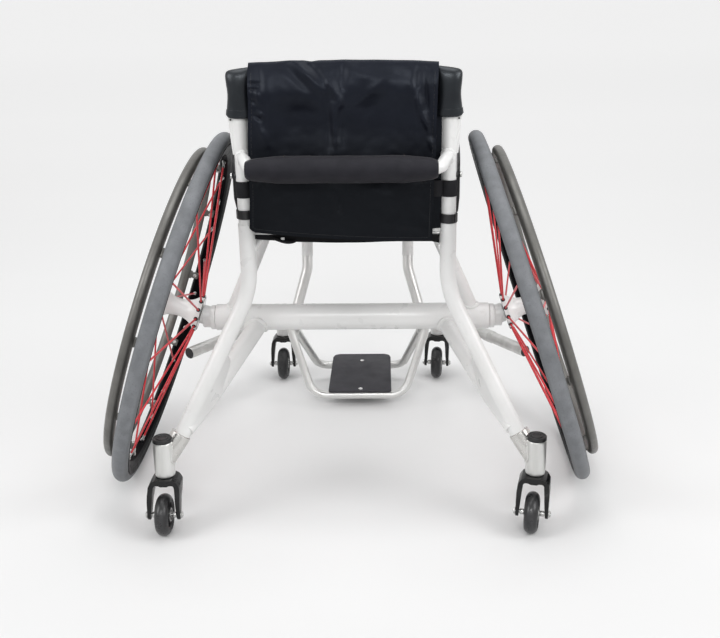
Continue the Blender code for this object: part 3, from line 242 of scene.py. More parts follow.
def led(made, output, socket):
    """Leads a value into a socket of the finish."""
    made.node_tree.links.new(output, made.node_tree.nodes["Principled BSDF"].inputs[socket])


def blended(made, pattern, low, high, start=0.35, end=0.65):
    """Runs the colour from low to high as a pattern rises."""
    tree = made.node_tree
    pattern = clouded(made, pattern)
    ramp = tree.nodes.new("ShaderNodeValToRGB")
    ramp.color_ramp.elements[0].position = start
    ramp.color_ramp.elements[1].position = end
    ramp.color_ramp.elements[0].color = (*low, 1.0)
    ramp.color_ramp.elements[1].color = (*high, 1.0)
    tree.links.new(pattern, ramp.inputs["Fac"])
    led(made, ramp.outputs["Color"], "Base Color")
    return ramp.outputs["Color"]


def ranged(made, value, start, end, low=0.0, high=1.0, kind="LINEAR"):
    """Runs from low to high as a value in a material runs from start to end."""
    node = made.node_tree.nodes.new("ShaderNodeMapRange")
    node.interpolation_type = kind
    for socket, number in zip(("From Min", "From Max", "To Min", "To Max"), (start, end, low, high)):
        node.inputs[socket].default_value = number
    made.node_tree.links.new(value, node.inputs["Value"])
    return node.outputs["Result"]


def glossed(made, pattern, low, high):
    """Lets the roughness follow a pattern."""
    led(made, ranged(made, clouded(made, pattern), 0.3, 0.7, low, high), "Roughness")


def raised(made, pattern, depth, strength):
    """Lets the surface rise with a pattern, on top of any relief that is there already."""
    tree = made.node_tree
    pattern = clouded(made, pattern)
    relief = tree.nodes.new("ShaderNodeBump")
    relief.inputs["Distance"].default_value = depth
    relief.inputs["Strength"].default_value = strength
    normal = tree.nodes["Principled BSDF"].inputs["Normal"]
    if normal.links:
        tree.links.new(normal.links[0].from_socket, relief.inputs["Normal"])
    tree.links.new(pattern, relief.inputs["Height"])
    tree.links.new(relief.outputs["Normal"], normal)


def coated(piece, made):
    """Gives a piece its one material."""
    piece.data.materials.clear()
    piece.data.materials.append(made)
    return piece


powder_coat = finish("white_powder_coat", "white_paint", (0.81, 0.81, 0.80), 0.30, coat=0.25)
blended(powder_coat, (14, 2), (0.79, 0.79, 0.78), (0.83, 0.83, 0.822))
raised(powder_coat, (900, 2), 0.00012, 0.25)
glossed(powder_coat, (40, 3), 0.26, 0.38)

tube_place = Matrix.Translation(spot(0, 0, CAMBER_TUBE_HEIGHT))
cross_tube = bush("cross_tube", -CAMBER_TUBE_HALF, CAMBER_TUBE_HALF, CAMBER_TUBE_RADIUS - CAMBER_TUBE_WALL,
                  CAMBER_TUBE_RADIUS, 96, tube_place, 0.0008)
fitted(coated(cross_tube, powder_coat), "frame", "camber_tube")
low, high = CAMBER_TUBE_HALF + 0.0004, CAMBER_TUBE_HALF + COLLAR_WIDTH
outline = [(low, PLUG_RADIUS), (low, COLLAR_RADIUS - 0.001), (low + 0.0012, COLLAR_RADIUS),
           (high - 0.001, COLLAR_RADIUS), (high, COLLAR_RADIUS - 0.001), (high, PLUG_RADIUS)]
collar = turned("tube_collar", outline, 96, tube_place)
coated(collar, powder_coat)
both_sides(collar, "tube_collar", "frame", "camber_collar_*")

# Cambered plugs
# White plugs close the camber tube; each holds a tilted boss with a bare bush for its wheel's
# axle, and that boss sets the camber of the wheel.
CAMBER = radians(18.3)
WHEEL_X = 0.297657
WHEEL_Z = 0.290207
HUB_INNER_FACE = -0.04165
HUB_NOSE_FACE = 0.04175
AXLE_RADIUS = 0.00635
BOSS_RADIUS = 0.0166


def wheel_place(side):
    """The place of a wheel: X points outward along its axle and Z up in the plane of the wheel."""
    where = Matrix.Translation((side * WHEEL_X, AXLE_LINE_Y, WHEEL_Z))
    facing = Matrix.Rotation(0 if side > 0 else pi, 4, "Z")
    return where @ facing @ Matrix.Rotation(-CAMBER, 4, "Y")


def joined(name, *pieces):
    """Joins finished pieces into one."""
    deselect()
    for piece in pieces:
        piece.select_set(True)
    bpy.context.view_layer.objects.active = pieces[0]
    bpy.ops.object.join()
    pieces[0].name = name
    return pieces[0]


bright_aluminium = finish("bright_aluminium", "bare_aluminium", (0.74, 0.74, 0.73), 0.26, metallic=1.0)
glossed(bright_aluminium, (60, 4), 0.2, 0.34)
blended(bright_aluminium, (9, 2), (0.68, 0.68, 0.675), (0.80, 0.80, 0.79))
raised(bright_aluminium, (700, 2, (1, 1, 0.03)), 0.00008, 0.3)

low = CAMBER_TUBE_HALF - 0.002
outline = [(low, 0.008), (low, PLUG_RADIUS - 0.0002), (PLUG_END - 0.0012, PLUG_RADIUS - 0.0002),
           (PLUG_END, PLUG_RADIUS - 0.0014), (PLUG_END, 0.008)]
plug_body = turned("plug_body", outline, 96, tube_place)
low, high = HUB_INNER_FACE - 0.018, HUB_INNER_FACE - 0.0012
outline = [(low, AXLE_RADIUS + 0.0003), (low, BOSS_RADIUS), (high - 0.0012, BOSS_RADIUS - 0.0004),
           (high, BOSS_RADIUS - 0.0018), (high, AXLE_RADIUS + 0.0003)]
plug_boss = turned("plug_boss", outline, 64, wheel_place(1))
plug = joined("camber_plug", plug_body, plug_boss)
coated(plug, powder_coat)
both_sides(plug, "camber_plug", "frame", "camber_plug_*")
low = high + 0.0007
outline = [(high - 0.001, AXLE_RADIUS + 0.0004), (high - 0.001, 0.0112), (low - 0.0002, 0.0112),
           (low, 0.0106), (low, AXLE_RADIUS + 0.0004)]
plug_bush = turned("plug_bush", outline, 48, wheel_place(1))
both_sides(coated(plug_bush, bright_aluminium), "plug_bush", "frame")

# Rear posts
# Each post comes down from the cane, bends outward and back under the camber tube, and ends in
# the sleeve of a rear caster. A brace runs beside its lower half and tapers into it, and a smooth
# web fills the corner between the two.
POST_RADIUS = 0.0125
BRACE_RADIUS = 0.0156
POST_TOP = spot(0.154, -0.120, 0.4665)
POST_BEND = spot(0.154, -0.120, 0.360)
SLEEVE_TOP = spot(0.2657, -0.199, 0.1456)
SLEEVE_FOOT = spot(0.2895, -0.215, 0.109)
BRACE_SHARE = 0.955
BRACE_TOP = spot(0.159, -0.010, 0.262)
BRACE_STEPS = 24
WELD_STEPS = 120


def tube(name, route, radius, sides, closed=False, swell=None):
    """A round tube along a route of points, swollen by a factor at each point where one is given."""
    curve = bpy.data.curves.new(name, "CURVE")
    curve.dimensions = "3D"
    curve.bevel_depth = radius
    curve.bevel_resolution = sides // 2 - 2
    curve.use_fill_caps = not closed
    spline = curve.splines.new("POLY")
    spline.points.add(len(route) - 1)
    for number, place in enumerate(route):
        spline.points[number].co = (*place, 1.0)
        if swell:
            spline.points[number].radius = swell[number]
    spline.use_cyclic_u = closed
    made = fresh(name, curve)
    bpy.ops.object.convert(target="MESH")
    return smoothed(made, 50)


def bead(name, start, way, radius, middle, across, across_radius, size=0.0030):
    """The weld where a tube that comes from start along way meets the side of another tube."""
    way = way.normalized()
    across = across.normalized()
    side = way.orthogonal().normalized()
    other = way.cross(side)
    flat_way = way - across * way.dot(across)
    ring = []
    swell = []
    for step in range(WELD_STEPS):
        angle = 2 * pi * step / WELD_STEPS
        place = start + (side * cos(angle) + other * sin(angle)) * radius
        gap = place - middle
        gap = gap - across * gap.dot(across)
        nearest = -gap.dot(flat_way) / flat_way.length_squared
        miss = gap.length_squared - nearest * nearest * flat_way.length_squared
        depth = sqrt(max(across_radius ** 2 - miss, 0.0) / flat_way.length_squared)
        ring.append(place + way * (nearest - depth))
        swell.append(1 + 0.05 * cos(angle * 40) + 0.06 * sin(angle * 3))
    return tube(name, ring, size, 12, True, swell)


def skinned(name, rows, closed=False):
    """Skins rows of points that are all equally long; closed rows run round a tube."""
    count = len(rows[0])
    points = [place for row in rows for place in row]
    faces = []
    for row in range(len(rows) - 1):
        for here in range(count if closed else count - 1):
            after = (here + 1) % count
            low = row * count
            faces.append((low + here, low + after, low + count + after, low + count + here))
    return smoothed(outward(meshed(name, points, [], faces)), 60)


def brace_taper(share):
    """How much of its radius the brace has left at a share of its length."""
    return 1 - 0.30 * max(0.0, (share * BRACE_STEPS - 15) / 9) ** 1.8


sleeve_way = (SLEEVE_FOOT - SLEEVE_TOP).normalized()
post_foot = SLEEVE_TOP + Vector((-0.0030, 0, 0.0010))
post_route = rounded([POST_TOP, POST_BEND, post_foot], 0.120, 20) + [SLEEVE_TOP + sleeve_way * 0.015]
rear_post = coated(tube("rear_post", post_route, POST_RADIUS, 48), powder_coat)
both_sides(rear_post, "rear_post", "frame", "rear_post_*")
post_run = post_foot - POST_BEND
brace_foot = POST_BEND + post_run * BRACE_SHARE + Vector((-0.0040, -0.0030, 0))
brace_way = brace_foot - BRACE_TOP
brace_places = [BRACE_TOP + brace_way * step / BRACE_STEPS for step in range(BRACE_STEPS + 1)]
brace_swell = [brace_taper(step / BRACE_STEPS) for step in range(BRACE_STEPS + 1)]
web_way = (post_run.normalized() + brace_way.normalized()).normalized()
web_rows = []
for step in range(33):
    share = 0.40 + 0.56 * (step / 32) ** 1.1
    fill = min(0.97, 0.02 + 0.30 * min(step, 3) / 3 + 0.65 * max(0.0, step - 3) / 11)
    on_post = POST_BEND + post_run * BRACE_SHARE * share
    on_brace = BRACE_TOP + brace_way * share
    across = on_brace - on_post
    across = (across - web_way * across.dot(web_way)).normalized()
    beside = web_way.cross(across)
    row = []
    for middle, radius, first in ((on_brace, BRACE_RADIUS * brace_taper(share), pi / 2),
                                  (on_post, POST_RADIUS, -pi / 2)):
        for turn in range(13):
            angle = first - pi * turn / 12
            row.append(middle + (across * cos(angle) + beside * sin(angle)) * radius * fill)
    web_rows.append(row)
both_sides(coated(skinned("brace_web", web_rows, True), powder_coat), "brace_web", "frame")
rear_brace = tube("rear_brace", brace_places, BRACE_RADIUS, 48, False, brace_swell)
coated(rear_brace, powder_coat)
both_sides(rear_brace, "rear_brace", "frame", "rear_brace_*")
tube_middle = spot(0, 0, CAMBER_TUBE_HEIGHT)
brace_middle = (BRACE_TOP + brace_foot) / 2
top_bead = bead("brace_top_bead", brace_middle, -brace_way, BRACE_RADIUS, tube_middle, ACROSS,
                CAMBER_TUBE_RADIUS, 0.0036)
both_sides(coated(top_bead, powder_coat), "brace_bead", "frame")

# Seat rails and struts
# A rail on each side carries the seat, turns down over the knee and ends in the socket of a
# footrest leg. A strut stands on the camber tube and holds the rail up.
RAIL_RADIUS = 0.0110
RAIL_REAR = spot(0.152, -0.120, 0.428)
RAIL_FRONT = spot(0.0985, 0.333, 0.456)
LEG_SLOPE = 0.293
SOCKET_HEIGHT = 0.292
STRUT_FOOT = spot(0.203, 0, 0.280)
rail_run = RAIL_FRONT - RAIL_REAR


def on_leg(height, x):
    """A place in the sloping plane of the legs."""
    return Vector((x, RAIL_FRONT.y + (height - RAIL_FRONT.z) * LEG_SLOPE, height))


def on_rail(y):
    """A place on the middle line of a seat rail; y is counted from the axle line."""
    return RAIL_REAR + rail_run * ((y + AXLE_LINE_Y - RAIL_REAR.y) / rail_run.y)


rail_route = rounded([RAIL_REAR, RAIL_FRONT, on_leg(SOCKET_HEIGHT, RAIL_FRONT.x)], 0.060, 16)
seat_rail = coated(tube("seat_rail", rail_route, RAIL_RADIUS, 48), powder_coat)
both_sides(seat_rail, "seat_rail", "frame", "seat_rail_*")
strut_top = on_rail(0) - Vector((0, 0, POST_RADIUS / 2))
strut_way = strut_top - STRUT_FOOT
side_strut = coated(tube("side_strut", [STRUT_FOOT, strut_top], POST_RADIUS, 48), powder_coat)
both_sides(side_strut, "side_strut", "frame", "side_strut_*")
strut_middle = (STRUT_FOOT + strut_top) / 2
foot_bead = bead("strut_foot_bead", strut_middle, -strut_way, POST_RADIUS, tube_middle, ACROSS,
                 CAMBER_TUBE_RADIUS)
top_bead = bead("strut_top_bead", strut_middle, strut_way, POST_RADIUS, on_rail(0), rail_run, RAIL_RADIUS,
                0.0026)
rail_bead = bead("rail_end_bead", on_rail(0), -rail_run, RAIL_RADIUS, POST_TOP, UP, POST_RADIUS, 0.0026)
frame_beads = coated(joined("frame_beads", foot_bead, top_bead, rail_bead), powder_coat)
both_sides(frame_beads, "frame_beads", "frame")

# Lower rails and front caster housings
# A low rail runs forward from the camber tube on each side to the white housing of a front
# caster, and a plastic cap closes the housing over the bearings.
FRONT_RAIL_RADIUS = 0.0127
FRONT_RAIL_START = spot(0.148, 0, 0.266)
FRONT_RAIL_END = spot(0.1635, 0.3855, 0.120)
FRONT_SWIVEL = spot(0.1635, 0.3855, 0)
REAR_SWIVEL = spot(0.2895, -0.215, 0)
BARREL_RADIUS = 0.0150
BARREL_BORE = 0.0070
BARREL_FOOT = 0.088
BARREL_TOP = 0.146
ALONG_TO_UP = Matrix.Rotation(-pi / 2, 4, "Y")
black_plastic = finish("black_plastic", "black_plastic", (0.010, 0.010, 0.011), 0.42)
glossed(black_plastic, (120, 3), 0.36, 0.5)
raised(black_plastic, (1500, 2), 0.00006, 0.3)


def upright(place):
    """Stands a turned piece on end at a place."""
    return Matrix.Translation(place) @ ALONG_TO_UP


front_rail = tube("front_rail", [FRONT_RAIL_START, FRONT_RAIL_END], FRONT_RAIL_RADIUS, 48)
front_barrel = bush("front_barrel", BARREL_FOOT, BARREL_TOP, BARREL_BORE, BARREL_RADIUS, 64,
                    upright(FRONT_SWIVEL), 0.0008)
rail_back = (FRONT_RAIL_START + FRONT_RAIL_END) / 2
way = FRONT_RAIL_END - FRONT_RAIL_START
front_top_bead = bead("front_top_bead", rail_back, -way, FRONT_RAIL_RADIUS, tube_middle, ACROSS,
                      CAMBER_TUBE_RADIUS, 0.0034)
front_end_bead = bead("front_end_bead", rail_back, way, FRONT_RAIL_RADIUS, FRONT_SWIVEL, UP,
                      BARREL_RADIUS, 0.0026)
lower_rail = coated(joined("lower_rail", front_rail, front_barrel, front_top_bead, front_end_bead),
                    powder_coat)
both_sides(lower_rail, "lower_rail", "frame", "front_rail_*")


def cap(name, place, radius, rise=0.0):
    """A pressed-in plastic cap with two raised rings round a dished middle."""
    foot = BARREL_TOP + 0.0002
    top = foot + rise
    outline = [(foot, radius), (top + 0.0022, radius), (top + 0.0036, radius - 0.0016),
               (top + 0.0036, radius - 0.0030), (top + 0.0026, radius - 0.0036),
               (top + 0.0026, radius - 0.0058), (top + 0.0040, radius - 0.0064),
               (top + 0.0040, radius - 0.0082), (top + 0.0028, radius - 0.0090), (top + 0.0032, 0.0),
               (foot - 0.004, 0.0), (foot - 0.004, radius - 0.004), (foot, radius - 0.004)]
    return turned(name, outline, 64, upright(place), 0.0004)


front_cap = coated(cap("front_cap", FRONT_SWIVEL, BARREL_RADIUS - 0.0002), black_plastic)
both_sides(front_cap, "front_cap", "frame")

# Rear caster housings
# A polished barrel is welded to a polished sleeve, and the sleeve slides over the lower end of
# the rear post. A ringed plastic cap closes the barrel.
SLEEVE_RADIUS = 0.01625
HOUSING_RADIUS = 0.0156
SLEEVE_FOOT_RADIUS = 0.01425
polished_aluminium = finish("polished_aluminium", "bare_aluminium", (0.80, 0.80, 0.78), 0.36, metallic=0.6)
glossed(polished_aluminium, (90, 4), 0.30, 0.42)
blended(polished_aluminium, (60, 3, (1, 1, 0.12)), (0.63, 0.63, 0.61), (0.76, 0.76, 0.745))
raised(polished_aluminium, (260, 3, (1, 1, 0.08)), 0.00008, 0.25)
outline = [(BARREL_FOOT, BARREL_BORE), (BARREL_FOOT, HOUSING_RADIUS - 0.0006),
           (BARREL_FOOT + 0.0022, HOUSING_RADIUS), (BARREL_TOP - 0.0016, HOUSING_RADIUS),
           (BARREL_TOP, HOUSING_RADIUS - 0.0008), (BARREL_TOP, BARREL_BORE)]
rear_barrel = turned("rear_barrel", outline, 64, upright(REAR_SWIVEL), 0.0005)
sleeve_length = (SLEEVE_FOOT - SLEEVE_TOP).length + 0.003
sleeve_place = Matrix.Translation(SLEEVE_TOP) @ sleeve_way.to_track_quat("X", "Z").to_matrix().to_4x4()
bore = POST_RADIUS - 0.0008
outline = [(-0.0052, bore), (-0.0052, SLEEVE_RADIUS - 0.0010), (-0.0042, SLEEVE_RADIUS),
           (0.014, SLEEVE_RADIUS - 0.0002), (sleeve_length, SLEEVE_FOOT_RADIUS), (sleeve_length, bore)]
rear_sleeve = turned("rear_sleeve", outline, 64, sleeve_place, 0.0004)
sleeve_bead = bead("sleeve_bead", SLEEVE_TOP, sleeve_way, SLEEVE_FOOT_RADIUS, REAR_SWIVEL, UP,
                   HOUSING_RADIUS, 0.0018)
rear_housing = coated(joined("rear_housing", rear_barrel, sleeve_bead), polished_aluminium)
both_sides(rear_housing, "rear_housing", "frame", "rear_caster_housing_*")
sleeve_aluminium = finish("sleeve_aluminium", "bare_aluminium", (0.62, 0.61, 0.59), 0.24, metallic=1.0)
glossed(sleeve_aluminium, (60, 3), 0.20, 0.32)
both_sides(coated(rear_sleeve, sleeve_aluminium), "rear_sleeve", "frame")
rear_cap = coated(cap("rear_cap", REAR_SWIVEL, HOUSING_RADIUS - 0.0001, 0.0024), black_plastic)
both_sides(rear_cap, "rear_cap", "frame")

# Wing tubes
# A bare tube runs back and outward from each front housing to catch a rival's wheel. Its two
# lengths meet in a pressed joint, and a plastic plug closes the rear end.
WING_RADIUS = 0.0110
WING_START = spot(0.1635, 0.3855, 0.131)
WING_END = spot(0.3217, 0.156, 0.138)
WING_JOINT_SHARE = 0.62
brushed_aluminium = finish("brushed_aluminium", "bare_aluminium", (0.74, 0.74, 0.725), 0.40, metallic=0.75)
glossed(brushed_aluminium, (80, 4), 0.34, 0.46)
raised(brushed_aluminium, (900, 2, (1, 1, 0.04)), 0.00008, 0.35)
wing_way = (WING_END - WING_START).normalized()
wing_length = (WING_END - WING_START).length - 0.005
wing_place = Matrix.Translation(WING_START) @ wing_way.to_track_quat("X", "Z").to_matrix().to_4x4()
middle = wing_length * WING_JOINT_SHARE
outline = [(0.008, 0.0060), (0.008, WING_RADIUS), (middle - 0.0118, WING_RADIUS),
           (middle - 0.0105, WING_RADIUS + 0.0009), (middle - 0.0008, WING_RADIUS + 0.0011),
           (middle, WING_RADIUS + 0.0002), (middle + 0.0008, WING_RADIUS + 0.0011),
           (middle + 0.0105, WING_RADIUS + 0.0009), (middle + 0.0118, WING_RADIUS),
           (wing_length - 0.0006, WING_RADIUS), (wing_length, WING_RADIUS - 0.0006),
           (wing_length, WING_RADIUS - 0.0014), (wing_length - 0.008, WING_RADIUS - 0.0014),
           (wing_length - 0.008, 0.0060)]
wing = turned("wing", outline, 64, wing_place, 0.0002)
wing_bead = bead("wing_bead", WING_START + wing_way * 0.05, -wing_way, WING_RADIUS, FRONT_SWIVEL, UP,
                 BARREL_RADIUS, 0.0020)
wing = coated(joined("wing_tube", wing, wing_bead), polished_aluminium)
both_sides(wing, "wing_tube", "frame", "wing_tube_*")
plug_radius = WING_RADIUS - 0.0004
low, high = wing_length - 0.006, wing_length + 0.0011
lip = wing_length + 0.0003
outline = [(low, 0), (low, plug_radius - 0.0004), (lip, plug_radius - 0.0004), (lip, plug_radius),
           (high, plug_radius - 0.0006), (high, plug_radius - 0.0020),
           (wing_length + 0.0004, plug_radius - 0.0026), (wing_length + 0.0004, 0)]
wing_plug = turned("wing_plug", outline, 48, wing_place, 0.0002)
coated(wing_plug, black_plastic)
both_sides(wing_plug, "wing_plug", "frame")

# Tyres
# High-pressure court tyres with an almost smooth grey tread on black walls; running leaves fine
# lines round the crown and dulls it in patches.
WHEEL_RADIUS = 0.305
TYRE_RADIUS = 0.0125
RIM_EDGE_RADIUS = 0.2845
crown_radius = WHEEL_RADIUS - TYRE_RADIUS


def attribute(made, name):
    """The value that a piece carries at each point, such as its place along the lathe."""
    read = made.node_tree.nodes.new("ShaderNodeAttribute")
    read.attribute_name = name
    return read.outputs["Fac"]


def sums(made, kind, first, second):
    """Adds, multiplies or compares two values in a material; the second may be a number."""
    tree = made.node_tree
    node = tree.nodes.new("ShaderNodeMath")
    node.operation = kind
    tree.links.new(first, node.inputs[0])
    if isinstance(second, (int, float)):
        node.inputs[1].default_value = second
    else:
        tree.links.new(second, node.inputs[1])
    return node.outputs["Value"]


def mixed(made, share, low, high):
    """Mixes two colours or patterns of colour by a share."""
    tree = made.node_tree
    node = tree.nodes.new("ShaderNodeMix")
    node.data_type = "RGBA"
    tree.links.new(share, node.inputs[0])
    for socket, colour in ((node.inputs[6], low), (node.inputs[7], high)):
        if isinstance(colour, tuple):
            socket.default_value = (*colour, 1.0)
        else:
            tree.links.new(colour, socket)
    led(made, node.outputs[2], "Base Color")
    return node.outputs[2]


def wheel_piece(piece, name, made, *solids):
    """Puts a piece that was made on the bench on both wheels; a star stands for the side's name."""
    coated(piece, made)
    other = coated(fresh(name + "_left", piece.data.copy()), made)
    piece.name = name + "_right"
    for side_name, made_piece in (("right", piece), ("left", other)):
        made_piece.data.transform(wheel_place(SIDES[side_name]))
        fitted(made_piece, "wheel_*", *solids, star=side_name)


def soft_share(made, value, low, high):
    """A share that rises softly from 0 where a value is low to 1 where it is high."""
    return ranged(made, value, low, high, kind="SMOOTHSTEP")


tyre_rubber = finish("tyre_rubber", "grey_tyre", (0.22, 0.228, 0.24), 0.5, specular=0.25)
across = attribute(tyre_rubber, "along")
from_crown = sums(tyre_rubber, "ABSOLUTE", across, 0)
lines = sums(tyre_rubber, "SINE", sums(tyre_rubber, "MULTIPLY", across, 5200), 0)
clouds = speckle(tyre_rubber, 45, 5)
worn_and_lit_crown = blended(tyre_rubber, clouds, (0.150, 0.157, 0.168), (0.218, 0.227, 0.240), 0.3, 0.7)
grain = soft_share(tyre_rubber, speckle(tyre_rubber, 420, 3), 0.56, 0.68)
grained = mixed(tyre_rubber, sums(tyre_rubber, "MULTIPLY", grain, 0.35), worn_and_lit_crown, (0.12, 0.125, 0.133))
band = soft_share(tyre_rubber, from_crown, 0.0085, 0.0070)
# The tread darkens towards its edges: painted shade where the crown turns away from the light.
shaded_flanks = mixed(tyre_rubber, soft_share(tyre_rubber, from_crown, 0.0080, 0.0125), grained,
               (0.136, 0.142, 0.151))
from_axle = attribute(tyre_rubber, "out")
mixed(tyre_rubber, soft_share(tyre_rubber, from_axle, 0.2916, 0.2900), shaded_flanks, (0.014, 0.014, 0.016))
glossed(tyre_rubber, clouds, 0.42, 0.6)
raised(tyre_rubber, (900, 3), 0.0002, 0.35)
raised(tyre_rubber, sums(tyre_rubber, "MULTIPLY", lines, band), 0.00012, 0.5)
angles = [radians(-104 + 5.2 * step) for step in range(41)]
outline = [(TYRE_RADIUS * sin(angle), crown_radius + TYRE_RADIUS * cos(angle)) for angle in angles]
outline = [(-0.0080, 0.2800), (-0.0080, 0.2850)] + outline[1:-1] + [(0.0080, 0.2850), (0.0080, 0.2800)]
tyre = turned("tyre", outline, 192, None, 0, 60)
wheel_piece(tyre, "tyre", tyre_rubber, "tyre_*")

# Rims
# Deep double-wall rims, rolled from an aluminium section and anodised black, with a hooked edge
# on each side that holds the tyre's bead.
black_rim = finish("black_rim", "black_metal", (0.0035, 0.0035, 0.0045), 0.36, specular=0.02)
glossed(black_rim, (70, 4), 0.30, 0.44)
raised(black_rim, (900, 2), 0.00005, 0.3)
RIM_INNER_RADIUS = 0.2690
half = 0.0105
outline = [(-half + 0.0022, 0.2798), (-half + 0.0022, RIM_EDGE_RADIUS),
           (-half - 0.0010, RIM_EDGE_RADIUS + 0.0048),
           (-half - 0.0022, RIM_EDGE_RADIUS + 0.0050), (-half - 0.0025, RIM_EDGE_RADIUS + 0.0040),
           (-half, 0.2800),
           (-half, 0.2765), (-half + 0.0007, 0.2757), (-half + 0.0007, 0.2745), (-0.0066, RIM_INNER_RADIUS)]
rim = turned("rim", both_halves(outline), 192, None, 0.0009, 40)
wheel_piece(rim, "rim", black_rim, "rim_*")

# Hand rims
# Push rings of thick anodised tube stand on twelve tabs, each welded to the ring and held to
# the underside of the rim by a socket screw.
HANDRIM_RADIUS = 0.2616
HANDRIM_OFFSET = 0.0278
HANDRIM_TUBE = 0.0086
TABS = 12
TAB_FIRST = radians(7.5)


def copied_round(piece, count, first):
    """Sets copies of a bench piece round the X axis and joins them."""
    copies = [piece]
    for number in range(1, count):
        copy = fresh(piece.name, piece.data.copy())
        copy.data.transform(Matrix.Rotation(first + 2 * pi * number / count, 4, "X"))
        copies.append(copy)
    piece.data.transform(Matrix.Rotation(first, 4, "X"))
    return joined(piece.name, *copies)


def eased(piece, width, segments=3, angle=40):
    """Rounds off the sharp edges of a piece."""
    bevel = piece.modifiers.new("eased", "BEVEL")
    bevel.width = width
    bevel.segments = segments
    bevel.limit_method = "ANGLE"
    bevel.angle_limit = radians(angle)
    bevel.harden_normals = False
    return smoothed(settled(piece), angle)


def block(name, low, high):
    """A plain block between two corners."""
    deselect()
    bpy.ops.mesh.primitive_cube_add(size=1, location=[(a + b) / 2 for a, b in zip(low, high)])
    made = bpy.context.object
    made.name = name
    bpy.ops.transform.resize(value=[b - a for a, b in zip(low, high)])
    return settled(made)


def screw(name, radius, height, place):
    """A socket screw's head that rises along X, with a recess in its middle."""
    outline = [(0, 0), (0, radius), (height * 0.8, radius), (height, radius * 0.82),
               (height, radius * 0.55), (height * 0.4, radius * 0.5), (height * 0.4, 0)]
    head = turned(name, outline, 32, None, 0.0002)
    head.data.transform(place)
    return head


dark_anodised = finish("dark_anodised", "dark_anodised", (0.18, 0.177, 0.167), 0.42, metallic=0.5)
glossed(dark_anodised, (110, 4), 0.36, 0.50)
blended(dark_anodised, (26, 4), (0.138, 0.135, 0.126), (0.172, 0.168, 0.158))
raised(dark_anodised, (700, 3), 0.00008, 0.35)
steel = finish("zinc_steel", "steel", (0.56, 0.56, 0.55), 0.26, metallic=1.0)
glossed(steel, (200, 3), 0.2, 0.38)
outline = [(HANDRIM_OFFSET + HANDRIM_TUBE * sin(2 * pi * step / 32),
            HANDRIM_RADIUS + HANDRIM_TUBE * cos(2 * pi * step / 32))
           for step in range(32)]
ring = turned("ring", outline, 192, None, 0, 60)
tab = eased(block("tab", (0.0036, -0.0060, 0.2600), (HANDRIM_OFFSET - 0.006, 0.0060, 0.2625)), 0.0009)
foot = eased(block("foot", (HANDRIM_OFFSET - 0.0125, -0.0078, 0.2592),
                   (HANDRIM_OFFSET - 0.006, 0.0078, 0.2634)), 0.0016)
stand = eased(block("stand", (0.0036, -0.0052, 0.2606), (0.0128, 0.0052, RIM_INNER_RADIUS + 0.0012)), 0.0009)
tabs = copied_round(joined("tab", tab, foot, stand), TABS, TAB_FIRST)
handrim = joined("handrim", ring, tabs)
wheel_piece(handrim, "handrim", dark_anodised, "handrim_*")
head_place = Matrix.Translation((0.0095, 0, 0.2601)) @ Matrix.Rotation(pi / 2, 4, "Y")
tab_screws = copied_round(screw("tab_screw", 0.0032, 0.0026, head_place), TABS, TAB_FIRST)
wheel_piece(tab_screws, "tab_screws", steel)

# Spokes
# Straight fibre rods, twelve to each flange, pulled radially between the hub and the rim. Their
# ends are bonded into metal nipples, and the hub end sits in a rubber grommet.
FLANGE_SPOKES = 12
SPOKE_RADIUS = 0.0016
INNER_FLANGE = -0.0379
OUTER_FLANGE = 0.030
FLANGE_RADIUS = 0.0300
SPOKE_RIM_END = RIM_INNER_RADIUS - 0.0002


def rod(name, start, end, radius, sides=16):
    """A straight round rod between two places."""
    way = end - start
    deselect()
    bpy.ops.mesh.primitive_cylinder_add(vertices=sides, radius=radius, depth=way.length)
    made = bpy.context.object
    made.name = name
    facing = way.to_track_quat("Z", "Y").to_matrix().to_4x4()
    made.data.transform(Matrix.Translation((start + end) / 2) @ facing)
    return smoothed(made, 40)


red_fibre = finish("red_fibre", "red_fibre", (0.62, 0.020, 0.030), 0.36, coat=0.1)
blended(red_fibre, (160, 4), (0.56, 0.016, 0.026), (0.68, 0.028, 0.040))
nipples = []
grommets = []
rods = []
for number, flange in enumerate((INNER_FLANGE, OUTER_FLANGE)):
    hub_end = Vector((flange, 0, FLANGE_RADIUS))
    rim_end = Vector((0, 0, SPOKE_RIM_END))
    way = (rim_end - hub_end).normalized()
    turn = number * pi / FLANGE_SPOKES
    rods.append(copied_round(rod("spoke", hub_end - way * 0.002, rim_end, SPOKE_RADIUS), FLANGE_SPOKES, turn))
    nipple = rod("nipple", rim_end - way * 0.0125, rim_end, 0.0022)
    nut = rod("nut", rim_end - way * 0.0045, rim_end, 0.0033, 6)
    nipples.append(copied_round(joined("nipple", nipple, nut), FLANGE_SPOKES, turn))
    grommet = rod("grommet", hub_end - way * 0.002, hub_end + way * 0.0010, 0.0035, 24)
    grommets.append(copied_round(grommet, FLANGE_SPOKES, turn))
wheel_piece(joined("spokes", *rods), "spokes", red_fibre, "spokes_*")
wheel_piece(joined("nipples", *nipples), "nipples", steel)
wheel_piece(joined("grommets", *grommets), "grommets", black_plastic)

